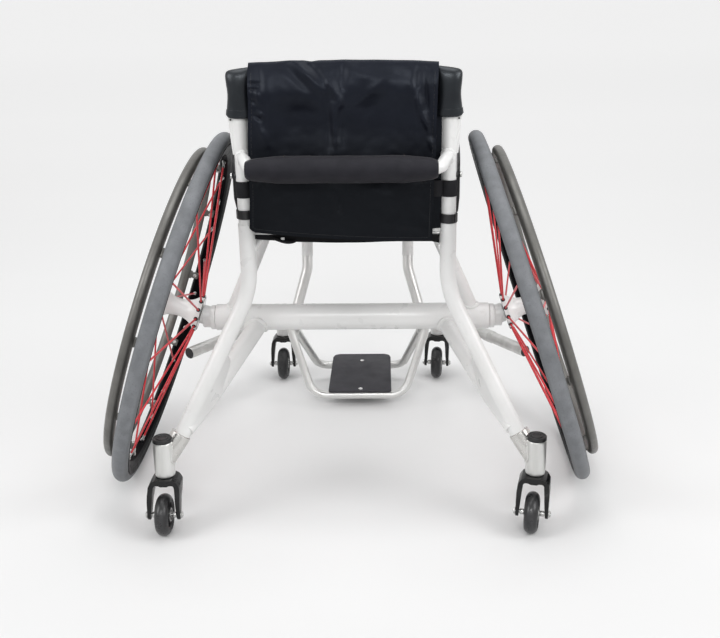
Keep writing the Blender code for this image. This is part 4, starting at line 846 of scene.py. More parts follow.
# Hubs
# Turned aluminium hubs, powder coated white like the frame, flare out to a broad flange at each
# end. The inner flange has a bare machined face round the bearing.
hub_middle = (INNER_FLANGE + OUTER_FLANGE) / 2
flare_half = 0.0302
flare = []
for step in range(21):
    share = -1 + step / 10
    flare.append((hub_middle + flare_half * share, 0.0148 + 0.0130 * abs(share) ** 2.4))
outline = [(HUB_INNER_FACE, 0.012), (HUB_INNER_FACE, 0.0294), (HUB_INNER_FACE + 0.0006, FLANGE_RADIUS)]
outline += [(-0.0345, FLANGE_RADIUS), (-0.0340, 0.0294)] + flare
outline += [(0.0264, 0.0294), (0.0269, FLANGE_RADIUS), (0.0332, FLANGE_RADIUS), (0.0338, 0.0294),
            (0.0338, 0.0168), (0.0348, 0.0165), (HUB_NOSE_FACE - 0.001, 0.0165), (HUB_NOSE_FACE, 0.0155),
            (HUB_NOSE_FACE, 0.012)]
hub = turned("hub", outline, 96, None, 0, 30)
wheel_piece(hub, "hub", powder_coat, "hub_*")
low = HUB_INNER_FACE - 0.0004
outline = [(low, 0.0120), (low, 0.0286), (low + 0.0006, 0.0291), (low + 0.001, 0.0120)]
inner_face = turned("hub_face", outline, 96, None, 0)
high = HUB_NOSE_FACE + 0.0002
outer_face = bush("hub_race", high, high - 0.001, 0.0118, 0.0098, 64, None, 0)
wheel_piece(joined("hub_faces", inner_face, outer_face), "hub_faces", bright_aluminium)
seals = [bush("hub_seal", face, face + 0.0012, 0.0070, 0.0122, 64, None, 0.0003)
         for face in (HUB_INNER_FACE - 0.0002, HUB_NOSE_FACE - 0.0011)]
low = HUB_INNER_FACE - 0.0005
seals.append(bush("hub_groove", low, low + 0.0010, 0.0272, 0.0291, 96, None, 0.0002))
wheel_piece(joined("hub_seals", *seals), "hub_seals", black_plastic)

# Quick release axles
# A steel pin joins each wheel to its plug. A push button in the head frees two locking balls, so
# the wheel can be pulled off.
head = HUB_NOSE_FACE + 0.0004
outline = [(-0.0756, 0), (-0.0756, 0.0050), (-0.0731, AXLE_RADIUS), (head, AXLE_RADIUS), (head, 0.0095),
           (head + 0.0008, 0.0095), (head + 0.0014, 0.0090), (head + 0.0027, 0.0090), (head + 0.0035, 0.0084),
           (head + 0.0035, 0.0040), (head - 0.004, 0.0039), (head - 0.004, 0)]
axle = turned("axle", outline, 64, None, 0.0003)
coated(axle, steel)
axle.data.transform(wheel_place(1))
both_sides(axle, "axle", "frame", "axle_*")
low = head + 0.0035 - 0.008
outline = [(low, 0), (low, 0.0034), (head + 0.0058, 0.0034), (head + 0.0068, 0.0028), (head + 0.0070, 0.0016),
           (head + 0.0066, 0)]
button = turned("axle_button", outline, 48, None, 0.0003)
coated(button, black_plastic)
button.data.transform(wheel_place(1))
both_sides(button, "axle_button", "button_*", "axle_button_*")

# Caster forks
# Cast black forks swivel on a stem in their housings. The crown is thick round the stem's bolt,
# and two slim arms run back to the axle.
CASTER_TRAIL = 0.030
CASTER_RADIUS = 0.033
CROWN_TOP = 0.0872
FORK_HALF = 0.0255
CASTERS = {"rear_left": (-1, REAR_SWIVEL, 0), "rear_right": (1, REAR_SWIVEL, -12.7),
           "front_left": (-1, FRONT_SWIVEL, 0), "front_right": (1, FRONT_SWIVEL, -6)}


def slab(name, outline, low, high, axis):
    """Extrudes a flat outline along an axis between two places on it."""
    along = "XYZ".index(axis)
    corners = []
    for first, second in outline:
        corner = [first, second]
        corner.insert(along, low)
        corners.append(corner)
    made = meshed(name, corners, [], [range(len(corners))])
    step = [0, 0, 0]
    step[along] = high - low
    bpy.ops.object.mode_set(mode="EDIT")
    bpy.ops.mesh.select_all(action="SELECT")
    bpy.ops.mesh.extrude_region_move(TRANSFORM_OT_translate={"value": step})
    return outward(made)


def soft_outline(corners, radius, steps=5):
    """Rounds every corner of a closed flat outline."""
    points = [Vector((a, b)) for a, b in corners]
    start = (points[-1] + points[0]) / 2
    return [tuple(point) for point in rounded([start] + points + [start], radius, steps)[:-1]]


def carved(piece, tool, operation):
    """Cuts a piece with a tool, joins the tool to it, or keeps only what both share."""
    modifier = piece.modifiers.new("carved", "BOOLEAN")
    modifier.operation = operation
    modifier.solver = "EXACT"
    modifier.object = tool
    settled(piece)
    bpy.data.objects.remove(tool, do_unlink=True)
    return piece


def swivel_place(name):
    """The place of a caster's swivel at rest."""
    side, swivel, turn = CASTERS[name]
    return Matrix.Translation((side * swivel.x, swivel.y, 0)) @ Matrix.Rotation(radians(turn), 4, "Z")


def caster_piece(piece, name, made, body, *solids):
    """Puts a bench piece on all four casters; a star stands for the caster's name."""
    coated(piece, made)
    for caster in CASTERS:
        one = coated(fresh(name + "_" + caster, piece.data.copy()), made)
        one.data.transform(swivel_place(caster))
        fitted(one, body, *solids, star=caster)
    bpy.data.objects.remove(piece, do_unlink=True)


gloss_black = finish("gloss_black", "black_metal", (0.0065, 0.0065, 0.0070), 0.26, coat=0.1, specular=0.3)
glossed(gloss_black, (30, 2), 0.24, 0.32)
right = [(0.0210, 0.0225), (0.0176, 0.0640), (0.0158, 0.0786), (0.0080, 0.0783), (0.0050, 0.0768)]
outer_right = [(FORK_HALF - 0.0004, 0.0225), (FORK_HALF, 0.0650), (FORK_HALF - 0.0012, 0.0765),
               (FORK_HALF - 0.0062, 0.0840), (0.0140, CROWN_TOP)]
outline = both_halves(right) + both_halves([(-x, z) for x, z in outer_right])
fork = slab("caster_fork", soft_outline(outline, 0.0045), -0.06, 0.03, "Y")
boss = [(-CASTER_TRAIL + 0.0075 * cos(radians(angle)), CASTER_RADIUS + 0.0075 * sin(radians(angle)))
        for angle in range(160, 351, 10)]
profile = [(-0.022, CROWN_TOP + 0.01), (-0.022, 0.0790), (-0.0255, 0.0700), (-0.0335, 0.0560)] + boss
profile += [(-0.0125, 0.0560), (0.0015, 0.0680), (0.0095, 0.0745), (0.0125, 0.0800),
            (0.0125, CROWN_TOP + 0.01)]
fork = carved(fork, slab("fork_side", profile, -0.04, 0.04, "X"), "INTERSECT")
fork = eased(fork, 0.0018, 4, 35)
caster_piece(fork, "caster_fork", gloss_black, "fork_*", "caster_fork_*")
washer = bush("stem_washer", CROWN_TOP - 0.0002, BARREL_FOOT, 0.0060, 0.0118, 48, ALONG_TO_UP, 0.0002)
nut = rod("stem_nut", Vector((0, 0, 0.0744)), Vector((0, 0, 0.0772)), 0.0046, 6)
caster_piece(joined("stem_nut", eased(nut, 0.0005, 2), washer), "stem_nut", steel, "fork_*")

# Caster axles
# A bolt runs through each fork, with a spacer on either side of the wheel, a washer and a nut.
axle_middle = Vector((0, -CASTER_TRAIL, CASTER_RADIUS))
outline = both_halves([(-0.0296, 0), (-0.0296, 0.0026), (-0.0290, 0.0030)])
bolt = turned("bolt", outline, 32, Matrix.Translation(axle_middle), 0.0002)
parts = [bolt]
for side in (-1, 1):
    spacer = bush("spacer", 0.0122, 0.0186, 0.0029, 0.0045, 32)
    washer = bush("washer", 0.0258, 0.0266, 0.0029, 0.0058, 32, None, 0.0002)
    nut = eased(rod("nut", Vector((0.0267, 0, 0)), Vector((0.0288, 0, 0)), 0.0052, 6), 0.0004, 2)
    half_set = joined("half_set", spacer, washer, nut)
    half_set.data.transform(Matrix.Translation(axle_middle) @ Matrix.Rotation(0 if side > 0 else pi, 4, "Z"))
    parts.append(half_set)
caster_piece(joined("caster_axle", *parts), "caster_axle", steel, "fork_*", "caster_axle_*")

# Caster wheels
# Small solid wheels: a soft black tread is moulded on a plastic core that holds a sealed bearing.
caster_rubber = finish("caster_rubber", "caster_rubber", (0.045, 0.045, 0.047), 0.30)
glossed(caster_rubber, (90, 4), 0.24, 0.42)
# The crown is lighter and the edges darker: a painted highlight on the crown and painted shade on the edges,
# over random patches of wear.
worn_and_lit_crown = blended(caster_rubber, (60, 4), (0.015, 0.015, 0.016), (0.034, 0.034, 0.036))
from_crown = sums(caster_rubber, "ABSOLUTE", attribute(caster_rubber, "along"), 0)
mixed(caster_rubber, soft_share(caster_rubber, from_crown, 0.0025, 0.0085), worn_and_lit_crown, (0.010, 0.010, 0.011))
place = Matrix.Translation(axle_middle)
angles = [radians(-78 + 7.8 * step) for step in range(21)]
arc = [(0.011 * sin(angle), 0.022 + 0.011 * cos(angle)) for angle in angles]
outline = [(-0.0080, 0.0222)] + arc + [(0.0080, 0.0222)]
tread = turned("caster_tread", outline, 96, place, 0, 50)
caster_piece(tread, "caster_tread", caster_rubber, "roller_*", "caster_wheel_*")
outline = [(-0.0086, 0.0234), (-0.0092, 0.0226), (-0.0092, 0.0208), (-0.0078, 0.0196), (-0.0042, 0.0190),
           (-0.0034, 0.0126), (-0.0100, 0.0116), (-0.0104, 0.0102), (-0.0104, 0.0098)]
core = turned("caster_core", both_halves(outline), 96, place, 0.0005)
caster_piece(core, "caster_core", black_plastic, "roller_*")
rings = []
for low, high in ((0.0086, 0.0106), (-0.0106, -0.0086)):
    rings.append(bush("race", low, high, 0.0090, 0.0098, 64, place, 0.0002))
    rings.append(bush("inner_race", low * 1.04, high * 1.04, 0.0031, 0.0040, 64, place, 0.0002))
caster_piece(joined("races", *rings), "races", steel, "roller_*")
seal = bush("bearing_seal", -0.0102, 0.0102, 0.0039, 0.0091, 48, place, 0.0002)
caster_piece(seal, "bearing_seal", black_plastic, "roller_*")

# Footrest
# Two bent legs slide in the sockets of the frame. A long near loop and a short far loop of thinner
# tube are welded to them and carry a plastic plate, held by a screw over each loop.
LEG_RADIUS = 0.0102
LOOP_RADIUS = 0.0080
LEG_FOOT_HEIGHT = 0.170
LEG_FOOT_X = 0.1272
PLATE_THICKNESS = 0.0045
PLATE_SHIFT = 0.0025
mouth = on_leg(LEG_FOOT_HEIGHT, LEG_FOOT_X)
leg_route = rounded([on_leg(0.340, RAIL_FRONT.x), on_leg(0.268, RAIL_FRONT.x), mouth], 0.060, 14)
leg = coated(tube("footrest_leg", leg_route, LEG_RADIUS, 48), brushed_aluminium)
both_sides(leg, "footrest_leg", "footrest", "footrest_leg_*")


def mirror_route(route):
    """Carries a route on over the middle of the chair to the same places on the left."""
    return route + [Vector((-place.x, place.y, place.z)) for place in reversed(route)]


down = (mouth - on_leg(0.268, RAIL_FRONT.x)).normalized()
low_corner = on_leg(0.0272, 0.0905)
near_route = mirror_route([mouth - down * 0.012, mouth + down * 0.0215, low_corner])
near_loop = tube("near_loop", rounded(near_route, 0.037, 14), LOOP_RADIUS, 48)
fitted(coated(near_loop, brushed_aluminium), "footrest", "footrest_near_loop")
far_top = on_leg(0.158, LEG_FOOT_X - 0.001)
far_corner = spot(0.0880, 0.342, 0.034)
far_route = rounded(mirror_route([far_top, far_corner]), 0.029, 14)
far_loop = tube("far_loop", far_route, LOOP_RADIUS, 48)
fitted(coated(far_loop, brushed_aluminium), "footrest", "footrest_far_loop")
far_way = far_top - far_corner
loop_bead = bead("loop_bead", far_corner + far_way * 0.5, far_way, LOOP_RADIUS, mouth, low_corner - mouth,
                 LOOP_RADIUS, 0.0016)
ring_side = down.orthogonal().normalized()
ring_other = down.cross(ring_side)
mouth_ring = []
for step in range(48):
    angle = 2 * pi * step / 48
    mouth_ring.append(mouth + (ring_side * cos(angle) + ring_other * sin(angle)) * (LOOP_RADIUS + 0.0006))
mouth_bead = tube("mouth_bead", mouth_ring, 0.0015, 12, True)
leg_beads = coated(joined("leg_beads", loop_bead, mouth_bead), brushed_aluminium)
both_sides(leg_beads, "leg_beads", "footrest")

plate_plastic = finish("plate_plastic", "black_plastic", (0.052, 0.051, 0.059), 0.5, specular=0.25)
glossed(plate_plastic, (40, 4), 0.44, 0.6)
blended(plate_plastic, (30, 5), (0.044, 0.043, 0.050), (0.060, 0.059, 0.067))
raised(plate_plastic, (1100, 2), 0.00025, 0.4)
right = [(0.062, -0.008), (0.0605, 0.147), (0.0570, 0.1575), (0.0470, 0.1620)]
plate = slab("footplate", soft_outline(both_halves(right), 0.0060), 0, PLATE_THICKNESS, "Z")
tilt = atan2(far_corner.z - low_corner.z, far_corner.y - low_corner.y)
plate_place = Matrix.Translation((PLATE_SHIFT, low_corner.y, low_corner.z)) @ Matrix.Rotation(tilt, 4, "X")
plate_place = plate_place @ Matrix.Translation((0, 0, LOOP_RADIUS + 0.0003))
plate = eased(plate, 0.0009, 3)
plate.data.transform(plate_place)
fitted(coated(plate, plate_plastic), "footrest", "footplate")
loop_gap = (far_corner - low_corner).length
parts = []
for reach in (0.001, loop_gap - 0.006):
    where = plate_place @ Matrix.Translation((0.001, reach, PLATE_THICKNESS - 0.0006))
    parts.append(screw("plate_screw", 0.0042, 0.0016, where @ ALONG_TO_UP))
fitted(coated(joined("plate_screws", *parts), bright_aluminium), "footrest")

# Back canes
# The canes stand in the rear posts and clamp there under black collars. A welded fin stiffens each
# one on its outer side, and the top ends are hidden in the sling.
CANE = spot(0.154, -0.120, 0)
CANE_RADIUS = 0.0113
CANE_TOP = 0.684
COLLAR_LOW = {"left": 0.4755, "right": 0.4675}
cane = tube("back_cane", [CANE + Vector((0, 0, 0.4115)), CANE + Vector((0, 0, CANE_TOP))], CANE_RADIUS, 48)
fin_outline = soft_outline([(0.006, 0.572), (0.0133, 0.572), (0.0183, 0.634), (0.006, 0.634)], 0.002)
fin = slab("fin", [(CANE.x + x, z) for x, z in fin_outline], CANE.y - 0.003, CANE.y + 0.003, "Y")
fin = eased(fin, 0.0012, 3)
cane = coated(joined("back_cane", cane, fin), powder_coat)
both_sides(cane, "back_cane", "backrest", "back_cane_*")
for side_name, side in SIDES.items():
    place = upright(Vector((side * CANE.x, CANE.y, COLLAR_LOW[side_name])))
    outline = [(-0.0002, CANE_RADIUS), (-0.0002, 0.0136), (0.0006, 0.0140), (0.0126, 0.0140),
               (0.0135, 0.0134), (0.0135, CANE_RADIUS)]
    ring = turned("cane_collar_" + side_name, outline, 64, place, 0.0004)
    low = COLLAR_LOW[side_name]
    slit = block("slit", (-0.0007, -0.017, low - 0.002), (0.0007, -0.010, low + 0.016))
    on_cane = Matrix.Translation((side * CANE.x, CANE.y, 0))
    slit.data.transform(on_cane @ Matrix.Rotation(radians(side * 38), 4, "Z"))
    carved(ring, slit, "DIFFERENCE")
    fitted(coated(smoothed(ring, 35), black_plastic), "backrest", "cane_collar_" + side_name)
dot = rod("cane_stop", CANE + Vector((0.0136, -0.0040, 0.6240)), CANE + Vector((0.0136, -0.0010, 0.6240)),
          0.0014, 12)
both_sides(coated(dot, black_plastic), "cane_stop", "backrest")

# Back bar and its pad
# A bowed bar is welded across the canes behind the sling. A split foam tube is slipped over it, so
# that an opponent's chair does no harm.
BAR_RADIUS = 0.0095
BAR_HEIGHT = 0.560
PAD_RADIUS = 0.0198
PAD_HALF = 0.1393
PAD_SHIFT = -0.0037
bar_end = CANE + Vector((0, 0, BAR_HEIGHT + 0.011))
bar_corner = CANE + Vector((-0.016, -0.054, BAR_HEIGHT))
back_bar = tube("back_bar", rounded(mirror_route([bar_end, bar_corner]), 0.022, 12), BAR_RADIUS, 48)
fitted(coated(back_bar, powder_coat), "backrest", "rigidizer_bar")
way = bar_end - bar_corner
bar_bead = bead("bar_bead", bar_corner, way, BAR_RADIUS, CANE, UP, CANE_RADIUS, 0.0026)
both_sides(coated(bar_bead, powder_coat), "bar_bead", "backrest")

foam = finish("black_foam", "black_foam", (0.0125, 0.0122, 0.0150), 0.66, specular=0.25,
              tint=(0.93, 0.93, 1, 1), sheen=0.06, sheen_roughness=0.45)
blended(foam, (55, 5), (0.0078, 0.0075, 0.0105), (0.0118, 0.0114, 0.0148))
raised(foam, (900, 3), 0.0003, 0.5)
raised(foam, (60, 2), 0.0012, 0.35)


def smooth_step(value, low, high):
    """Rises softly from 0 at low to 1 at high."""
    share = max(0.0, min(1.0, (value - low) / (high - low)))
    return share * share * (3 - 2 * share)


outline = [(-PAD_HALF + 0.002, BAR_RADIUS)]
for step in range(101):
    along = -1 + 2 * step / 100
    along = sin(along * pi / 2)
    from_end = PAD_HALF * (1 - abs(along))
    taper = 1 - 0.20 * (1 - smooth_step(from_end, 0, 0.055))
    round_end = (1 - max(0.0, 1 - from_end / 0.0190) ** 2.2) ** 0.5
    outline.append((PAD_HALF * along,
                    BAR_RADIUS + 0.0006 + (PAD_RADIUS * taper - BAR_RADIUS - 0.0006) * round_end))
outline.append((PAD_HALF - 0.002, BAR_RADIUS))
pad = turned("back_pad", outline, 72, None, 0, 70)
for vertex in pad.data.vertices:
    lift = noise.noise(vertex.co * 28) * 0.0006 + noise.noise(vertex.co * 90) * 0.0002
    away = Vector((0, vertex.co.y, vertex.co.z)).normalized()
    vertex.co += away * lift
pad.data.transform(Matrix.Translation((PAD_SHIFT, bar_corner.y, BAR_HEIGHT)))
fitted(coated(pad, foam), "backrest", "rigidizer_pad")
threads = []
for x, lean in ((-0.0865, 0.35), (0.0870, -0.25)):
    root = Vector((x, bar_corner.y - 0.0040, BAR_HEIGHT + PAD_RADIUS - 0.001))
    loop = [root, root + Vector((0.001 * lean, 0, 0.0018)), root + Vector((0.004 * lean, -0.0005, 0.0036))]
    threads.append(tube("thread", rounded(loop, 0.001), 0.0003, 8))
thread_black = finish("thread_black", "black_fabric", (0.02, 0.02, 0.022), 0.7)
thread_brown = finish("thread_brown", "black_fabric", (0.075, 0.062, 0.054), 0.7)
fitted(coated(joined("pad_threads", *threads), thread_brown), "backrest")

# Side guards
# Thin plastic plates keep clothes off the wheels. Each is bolted through a spacer to its cane.
GUARD_INNER = 0.1677
GUARD_THICKNESS = 0.003
outline = [(-0.118, 0.505), (-0.118, 0.566), (-0.060, 0.600), (0.02, 0.605), (0.10, 0.585), (0.160, 0.530),
           (0.185, 0.475), (0.160, 0.463), (-0.04, 0.458), (-0.090, 0.475)]
guard = slab("side_guard", [(y + AXLE_LINE_Y, z) for y, z in soft_outline(outline, 0.018, 8)],
             GUARD_INNER, GUARD_INNER + GUARD_THICKNESS, "X")
guard = coated(eased(guard, 0.0009, 3), black_plastic)
both_sides(guard, "side_guard", "backrest", "side_guard_*")
bolt_place = CANE + Vector((0, 0, 0.540))
spacer_end = Vector((GUARD_INNER, bolt_place.y, bolt_place.z))
spacer = rod("guard_spacer", bolt_place + ACROSS * (CANE_RADIUS - 0.001), spacer_end, 0.005, 32)
both_sides(coated(spacer, black_plastic), "guard_spacer", "backrest")
bolt_head = Matrix.Translation(spacer_end + ACROSS * GUARD_THICKNESS)
bolt = screw("guard_bolt", 0.0046, 0.0026, bolt_head)
both_sides(coated(bolt, steel), "guard_bolt", "backrest")

# Back sling
# A nylon panel hangs between the canes on two webbing straps. Its top corners are vinyl sleeves
# that slip over the canes, closed by a flat seam at the top and a stitched hem below.
nylon = finish("black_nylon", "black_fabric", (0.0045, 0.0050, 0.0086), 0.38, specular=0.19,
               tint=(0.78, 0.86, 1, 1), sheen=0.01, sheen_roughness=0.4)
faded = blended(nylon, (18, 4), (0.0044, 0.0052, 0.0090), (0.0066, 0.0077, 0.0128))
# The cloth is painted darker from a height of 0.64 m down to 0.54 m: painted shade over the lower flap and
# panel and over the whole seat.
height = nylon.node_tree.nodes.new("ShaderNodeSeparateXYZ")
place = nylon.node_tree.nodes.new("ShaderNodeTexCoord")
nylon.node_tree.links.new(place.outputs["Object"], height.inputs[0])
mixed(nylon, soft_share(nylon, height.outputs["Z"], 0.640, 0.540), faded, (0.0010, 0.0011, 0.0016))
glossed(nylon, (34, 4), 0.34, 0.44)
raised(nylon, (1500, 2, (1, 1, 0.5)), 0.00018, 0.5)
raised(nylon, (110, 4), 0.0005, 0.35)
vinyl = finish("black_vinyl", "black_fabric", (0.0070, 0.0080, 0.0100), 0.32, specular=0.45,
               tint=(0.86, 0.93, 1, 1))
glossed(vinyl, (60, 4), 0.28, 0.38)
raised(vinyl, (850, 3), 0.00025, 0.45)
webbing = finish("black_webbing", "black_fabric", (0.0095, 0.0095, 0.0115), 0.74, specular=0.25)
raised(webbing, (700, 2, (1, 1, 3)), 0.0004, 0.6)
PANEL_HALF = 0.1425
PANEL_Y = -0.1712


def thickened(piece, thickness, offset=0):
    """Gives a sheet its thickness and soft edges."""
    solid = piece.modifiers.new("thickened", "SOLIDIFY")
    solid.thickness = thickness
    solid.offset = offset
    return smoothed(settled(piece), 60)


def stitched(name, path, length=0.0026, gap=0.0012, radius=0.00028):
    """A row of thread stitches along a path of points."""
    stitches = []
    walked = 0.0
    for here, after in zip(path, path[1:]):
        way = after - here
        reach = walked
        while reach + length < way.length:
            start = here + way.normalized() * reach
            stitches.append(rod("stitch", start, start + way.normalized() * length, radius, 6))
            reach += length + gap
        walked = max(0.0, reach - way.length)
    return joined(name, *stitches)


def on_panel(x, z):
    """The rider's sling panel: drawn flat between the canes and slack in its middle."""
    slack = 1 - (x / PANEL_HALF) ** 2
    fall = (0.66 - z) / 0.2
    ripple = noise.noise(Vector((x * 22, 3.1, z * 14))) * 0.0016 * slack
    return Vector((x, PANEL_Y - slack * (0.004 + 0.010 * fall) + ripple, z))


rows = []
for up in range(61):
    height = 0.4585 + 0.2285 * up / 60
    rows.append([on_panel(-PANEL_HALF + 2 * PANEL_HALF * across / 90, height) for across in range(91)])
panel = coated(thickened(skinned("sling_panel", rows), 0.0018), nylon)
fitted(panel, "backrest", "back_sling")

SLEEVE_LEVELS = [(0.6262, 0.0203, 0.0150, 0.0), (0.6275, 0.0207, 0.0155, 0.0), (0.6300, 0.0207, 0.0154, 0.0),
                 (0.6345, 0.0201, 0.0151, 0.0), (0.6420, 0.0190, 0.0147, 0.0), (0.6520, 0.0178, 0.0143, 0.0),
                 (0.6630, 0.0176, 0.0141, 0.0), (0.6740, 0.0181, 0.0138, 0.0), (0.6820, 0.0190, 0.0130, 0.0),
                 (0.6880, 0.0196, 0.0112, 0.0), (0.6920, 0.0193, 0.0086, -0.0004),
                 (0.6946, 0.0182, 0.0058, -0.0016),
                 (0.6960, 0.0165, 0.0034, -0.0033), (0.6966, 0.0148, 0.0014, -0.0050)]


def sleeve_row(level):
    """One level of a corner sleeve: a rounded pocket that is pinched flat along its top seam."""
    height, half_x, half_y, shift = level
    row = []
    for step in range(64):
        angle = 2 * pi * step / 64
        across, deep = cos(angle), sin(angle)
        x = CANE.x - 0.0015 + shift + abs(across) ** 0.9 * half_x * (1 if across > 0 else -1)
        y = CANE.y + abs(deep) ** 0.9 * half_y * (1 if deep > 0 else -1)
        tilt = -0.0020 * across * smooth_step(height, 0.665, 0.69)
        heel = 0.0026 * max(0.0, across) ** 4 * (1 - smooth_step(height, 0.626, 0.634))
        row.append(Vector((x, y, height + tilt + heel + 0.0010)))
    return row


corner = skinned("corner_sleeve", [sleeve_row(level) for level in SLEEVE_LEVELS], True)
detail = corner.modifiers.new("detail", "SUBSURF")
detail.levels = 1
corner = settled(corner)
for vertex in corner.data.vertices:
    away = Vector((vertex.co.x - CANE.x, vertex.co.y - CANE.y, 0)).normalized()
    vertex.co += away * 0.0007 * noise.noise(vertex.co * 60)
corner = coated(thickened(corner, 0.0012, -1), vinyl)
corners = both_sides(corner, "corner_sleeve", "backrest")
hem_row = [sleeve_row((0.6286, 0.0213, 0.0161, 0.0)), sleeve_row((0.6380, 0.0202, 0.0155, 0.0))]
hem = thickened(skinned("sleeve_hem", hem_row, True), 0.0009)
both_sides(coated(eased(hem, 0.0003, 2), vinyl), "sleeve_hem", "backrest")
rings = []
for height, half_x, half_y in ((0.6298, 0.0219, 0.0167), (0.6369, 0.0210, 0.0162)):
    ring = sleeve_row((height, half_x, half_y, 0.0))
    rings.append(stitched("sleeve_thread", ring[36:62], 0.0024, 0.0012, 0.00035))
both_sides(coated(joined("sleeve_threads", *rings), thread_black), "sleeve_threads", "backrest")

# Straps round the canes
# A band of webbing goes round each cane below the pad and pulls the sling panel tight.
band_low, band_high = 0.5085, 0.5330
band_rows = []
for height, grow in ((band_low, 0.0), (band_low + 0.0008, 0.0004), (band_high - 0.0008, 0.0004),
                     (band_high, 0.0)):
    row = []
    for step in range(41):
        angle = radians(-140 + 262 * step / 40)
        reach = 0.0120 + grow
        row.append(Vector((CANE.x + reach * cos(angle), CANE.y + reach * sin(angle), height)))
    row = [Vector((PANEL_HALF - 0.012, CANE.y - 0.0100, height)),
           Vector((PANEL_HALF - 0.004, CANE.y - 0.0105, height))] + row
    row += [Vector((PANEL_HALF - 0.002, CANE.y + 0.0060, height)),
            Vector((PANEL_HALF - 0.020, PANEL_Y + 0.0005, height))]
    band_rows.append(row)
band_piece = thickened(skinned("cane_strap", band_rows), 0.0014)
straps = both_sides(coated(band_piece, webbing), "cane_strap", "backrest")

# Back flap
# The outer cover is one loose nylon sheet that folds over the top of the panel and hangs down
# behind it. Its side hems draw it into puckers, and the pad presses it in below.
FLAP_HALF = 0.1370
FLAP_TOP = 0.7030
FLAP_FOOT = 0.4508
FLAP_Y = -0.1880


def ridge(x, z, start, end, width, height):
    """How far a soft fold that runs between two places lifts the cloth at a third."""
    run = (end[0] - start[0], end[1] - start[1])
    length = run[0] ** 2 + run[1] ** 2
    share = ((x - start[0]) * run[0] + (z - start[1]) * run[1]) / length
    near = max(0.0, min(1.0, share))
    away = (x - start[0] - near * run[0]) ** 2 + (z - start[1] - near * run[1]) ** 2
    fade = 1 - 0.55 * abs(2 * near - 1)
    return height * fade * 2.718 ** (-away / width ** 2)


def hollow(x, z, middle, half_width, top):
    """A lobe of cloth that sinks in below the stretched top."""
    across = max(0.0, 1 - ((x - middle) / half_width) ** 2)
    return across * (1 - smooth_step(z, top - 0.040, top)) * smooth_step(z, 0.50, 0.575)


FOLDS = [
    ((-0.080, 0.712), (-0.028, 0.667), 0.0060, 0.0046), ((-0.066, 0.712), (-0.026, 0.682), 0.0045, -0.0034),
    ((-0.086, 0.700), (-0.040, 0.662), 0.0060, -0.0030), ((-0.030, 0.690), (-0.012, 0.668), 0.0050, 0.0030),
    ((-0.018, 0.676), (-0.004, 0.650), 0.0052, 0.0046), ((-0.004, 0.662), (-0.012, 0.632), 0.0050, 0.0036),
    ((-0.015, 0.650), (-0.012, 0.575), 0.0042, 0.0042), ((-0.024, 0.660), (-0.021, 0.590), 0.0060, -0.0030),
    ((-0.003, 0.640), (-0.003, 0.590), 0.0050, -0.0026), ((-0.001, 0.702), (-0.003, 0.674), 0.0085, -0.0046),
    ((0.012, 0.690), (0.050, 0.680), 0.0070, 0.0022), ((0.110, 0.703), (0.104, 0.680), 0.0040, -0.0030),
    ((0.106, 0.686), (0.103, 0.662), 0.0042, -0.0036), ((0.103, 0.668), (0.114, 0.627), 0.0052, 0.0056),
    ((0.114, 0.632), (0.124, 0.609), 0.0042, 0.0050), ((0.118, 0.604), (0.129, 0.583), 0.0036, 0.0036),
    ((0.124, 0.624), (0.129, 0.598), 0.0030, -0.0028), ((0.117, 0.610), (0.121, 0.592), 0.0030, -0.0028),
    ((0.117, 0.694), (0.121, 0.640), 0.0038, -0.0038), ((0.124, 0.688), (0.126, 0.640), 0.0030, 0.0024),
    ((-0.134, 0.6775), (-0.121, 0.6765), 0.0024, -0.0034),
         ((-0.133, 0.6700), (-0.122, 0.6690), 0.0022, -0.0034),
    ((-0.126, 0.6740), (-0.121, 0.6480), 0.0036, 0.0026),
         ((-0.133, 0.6560), (-0.127, 0.6490), 0.0026, -0.0026),
    ((-0.124, 0.6380), (-0.117, 0.6320), 0.0030, 0.0034),
         ((-0.130, 0.6330), (-0.120, 0.6260), 0.0026, -0.0034),
    ((-0.128, 0.6250), (-0.112, 0.5920), 0.0060, 0.0034), ((-0.122, 0.700), (-0.118, 0.672), 0.0044, -0.0022),
    ((-0.110, 0.690), (-0.104, 0.610), 0.0110, 0.0026), ((0.020, 0.650), (0.058, 0.682), 0.0060, 0.0022),
    ((0.026, 0.630), (0.062, 0.664), 0.0080, -0.0020), ((0.064, 0.690), (0.100, 0.684), 0.0070, -0.0016),
    ((-0.016, 0.520), (-0.010, 0.500), 0.0040, 0.0022), ((-0.010, 0.500), (-0.007, 0.492), 0.0034, 0.0030),
    ((0.104, 0.536), (0.122, 0.538), 0.0036, 0.0026), ((0.108, 0.530), (0.124, 0.531), 0.0030, -0.0022),
    ((0.106, 0.505), (0.122, 0.488), 0.0060, 0.0018), ((-0.133, 0.546), (-0.128, 0.534), 0.0034, 0.0030),
    ((-0.128, 0.540), (-0.120, 0.526), 0.0040, -0.0022), ((0.060, 0.478), (0.112, 0.470), 0.0060, 0.0014),
    ((-0.105, 0.505), (-0.085, 0.470), 0.0100, 0.0014), ((0.020, 0.525), (0.075, 0.512), 0.0100, 0.0012),
]


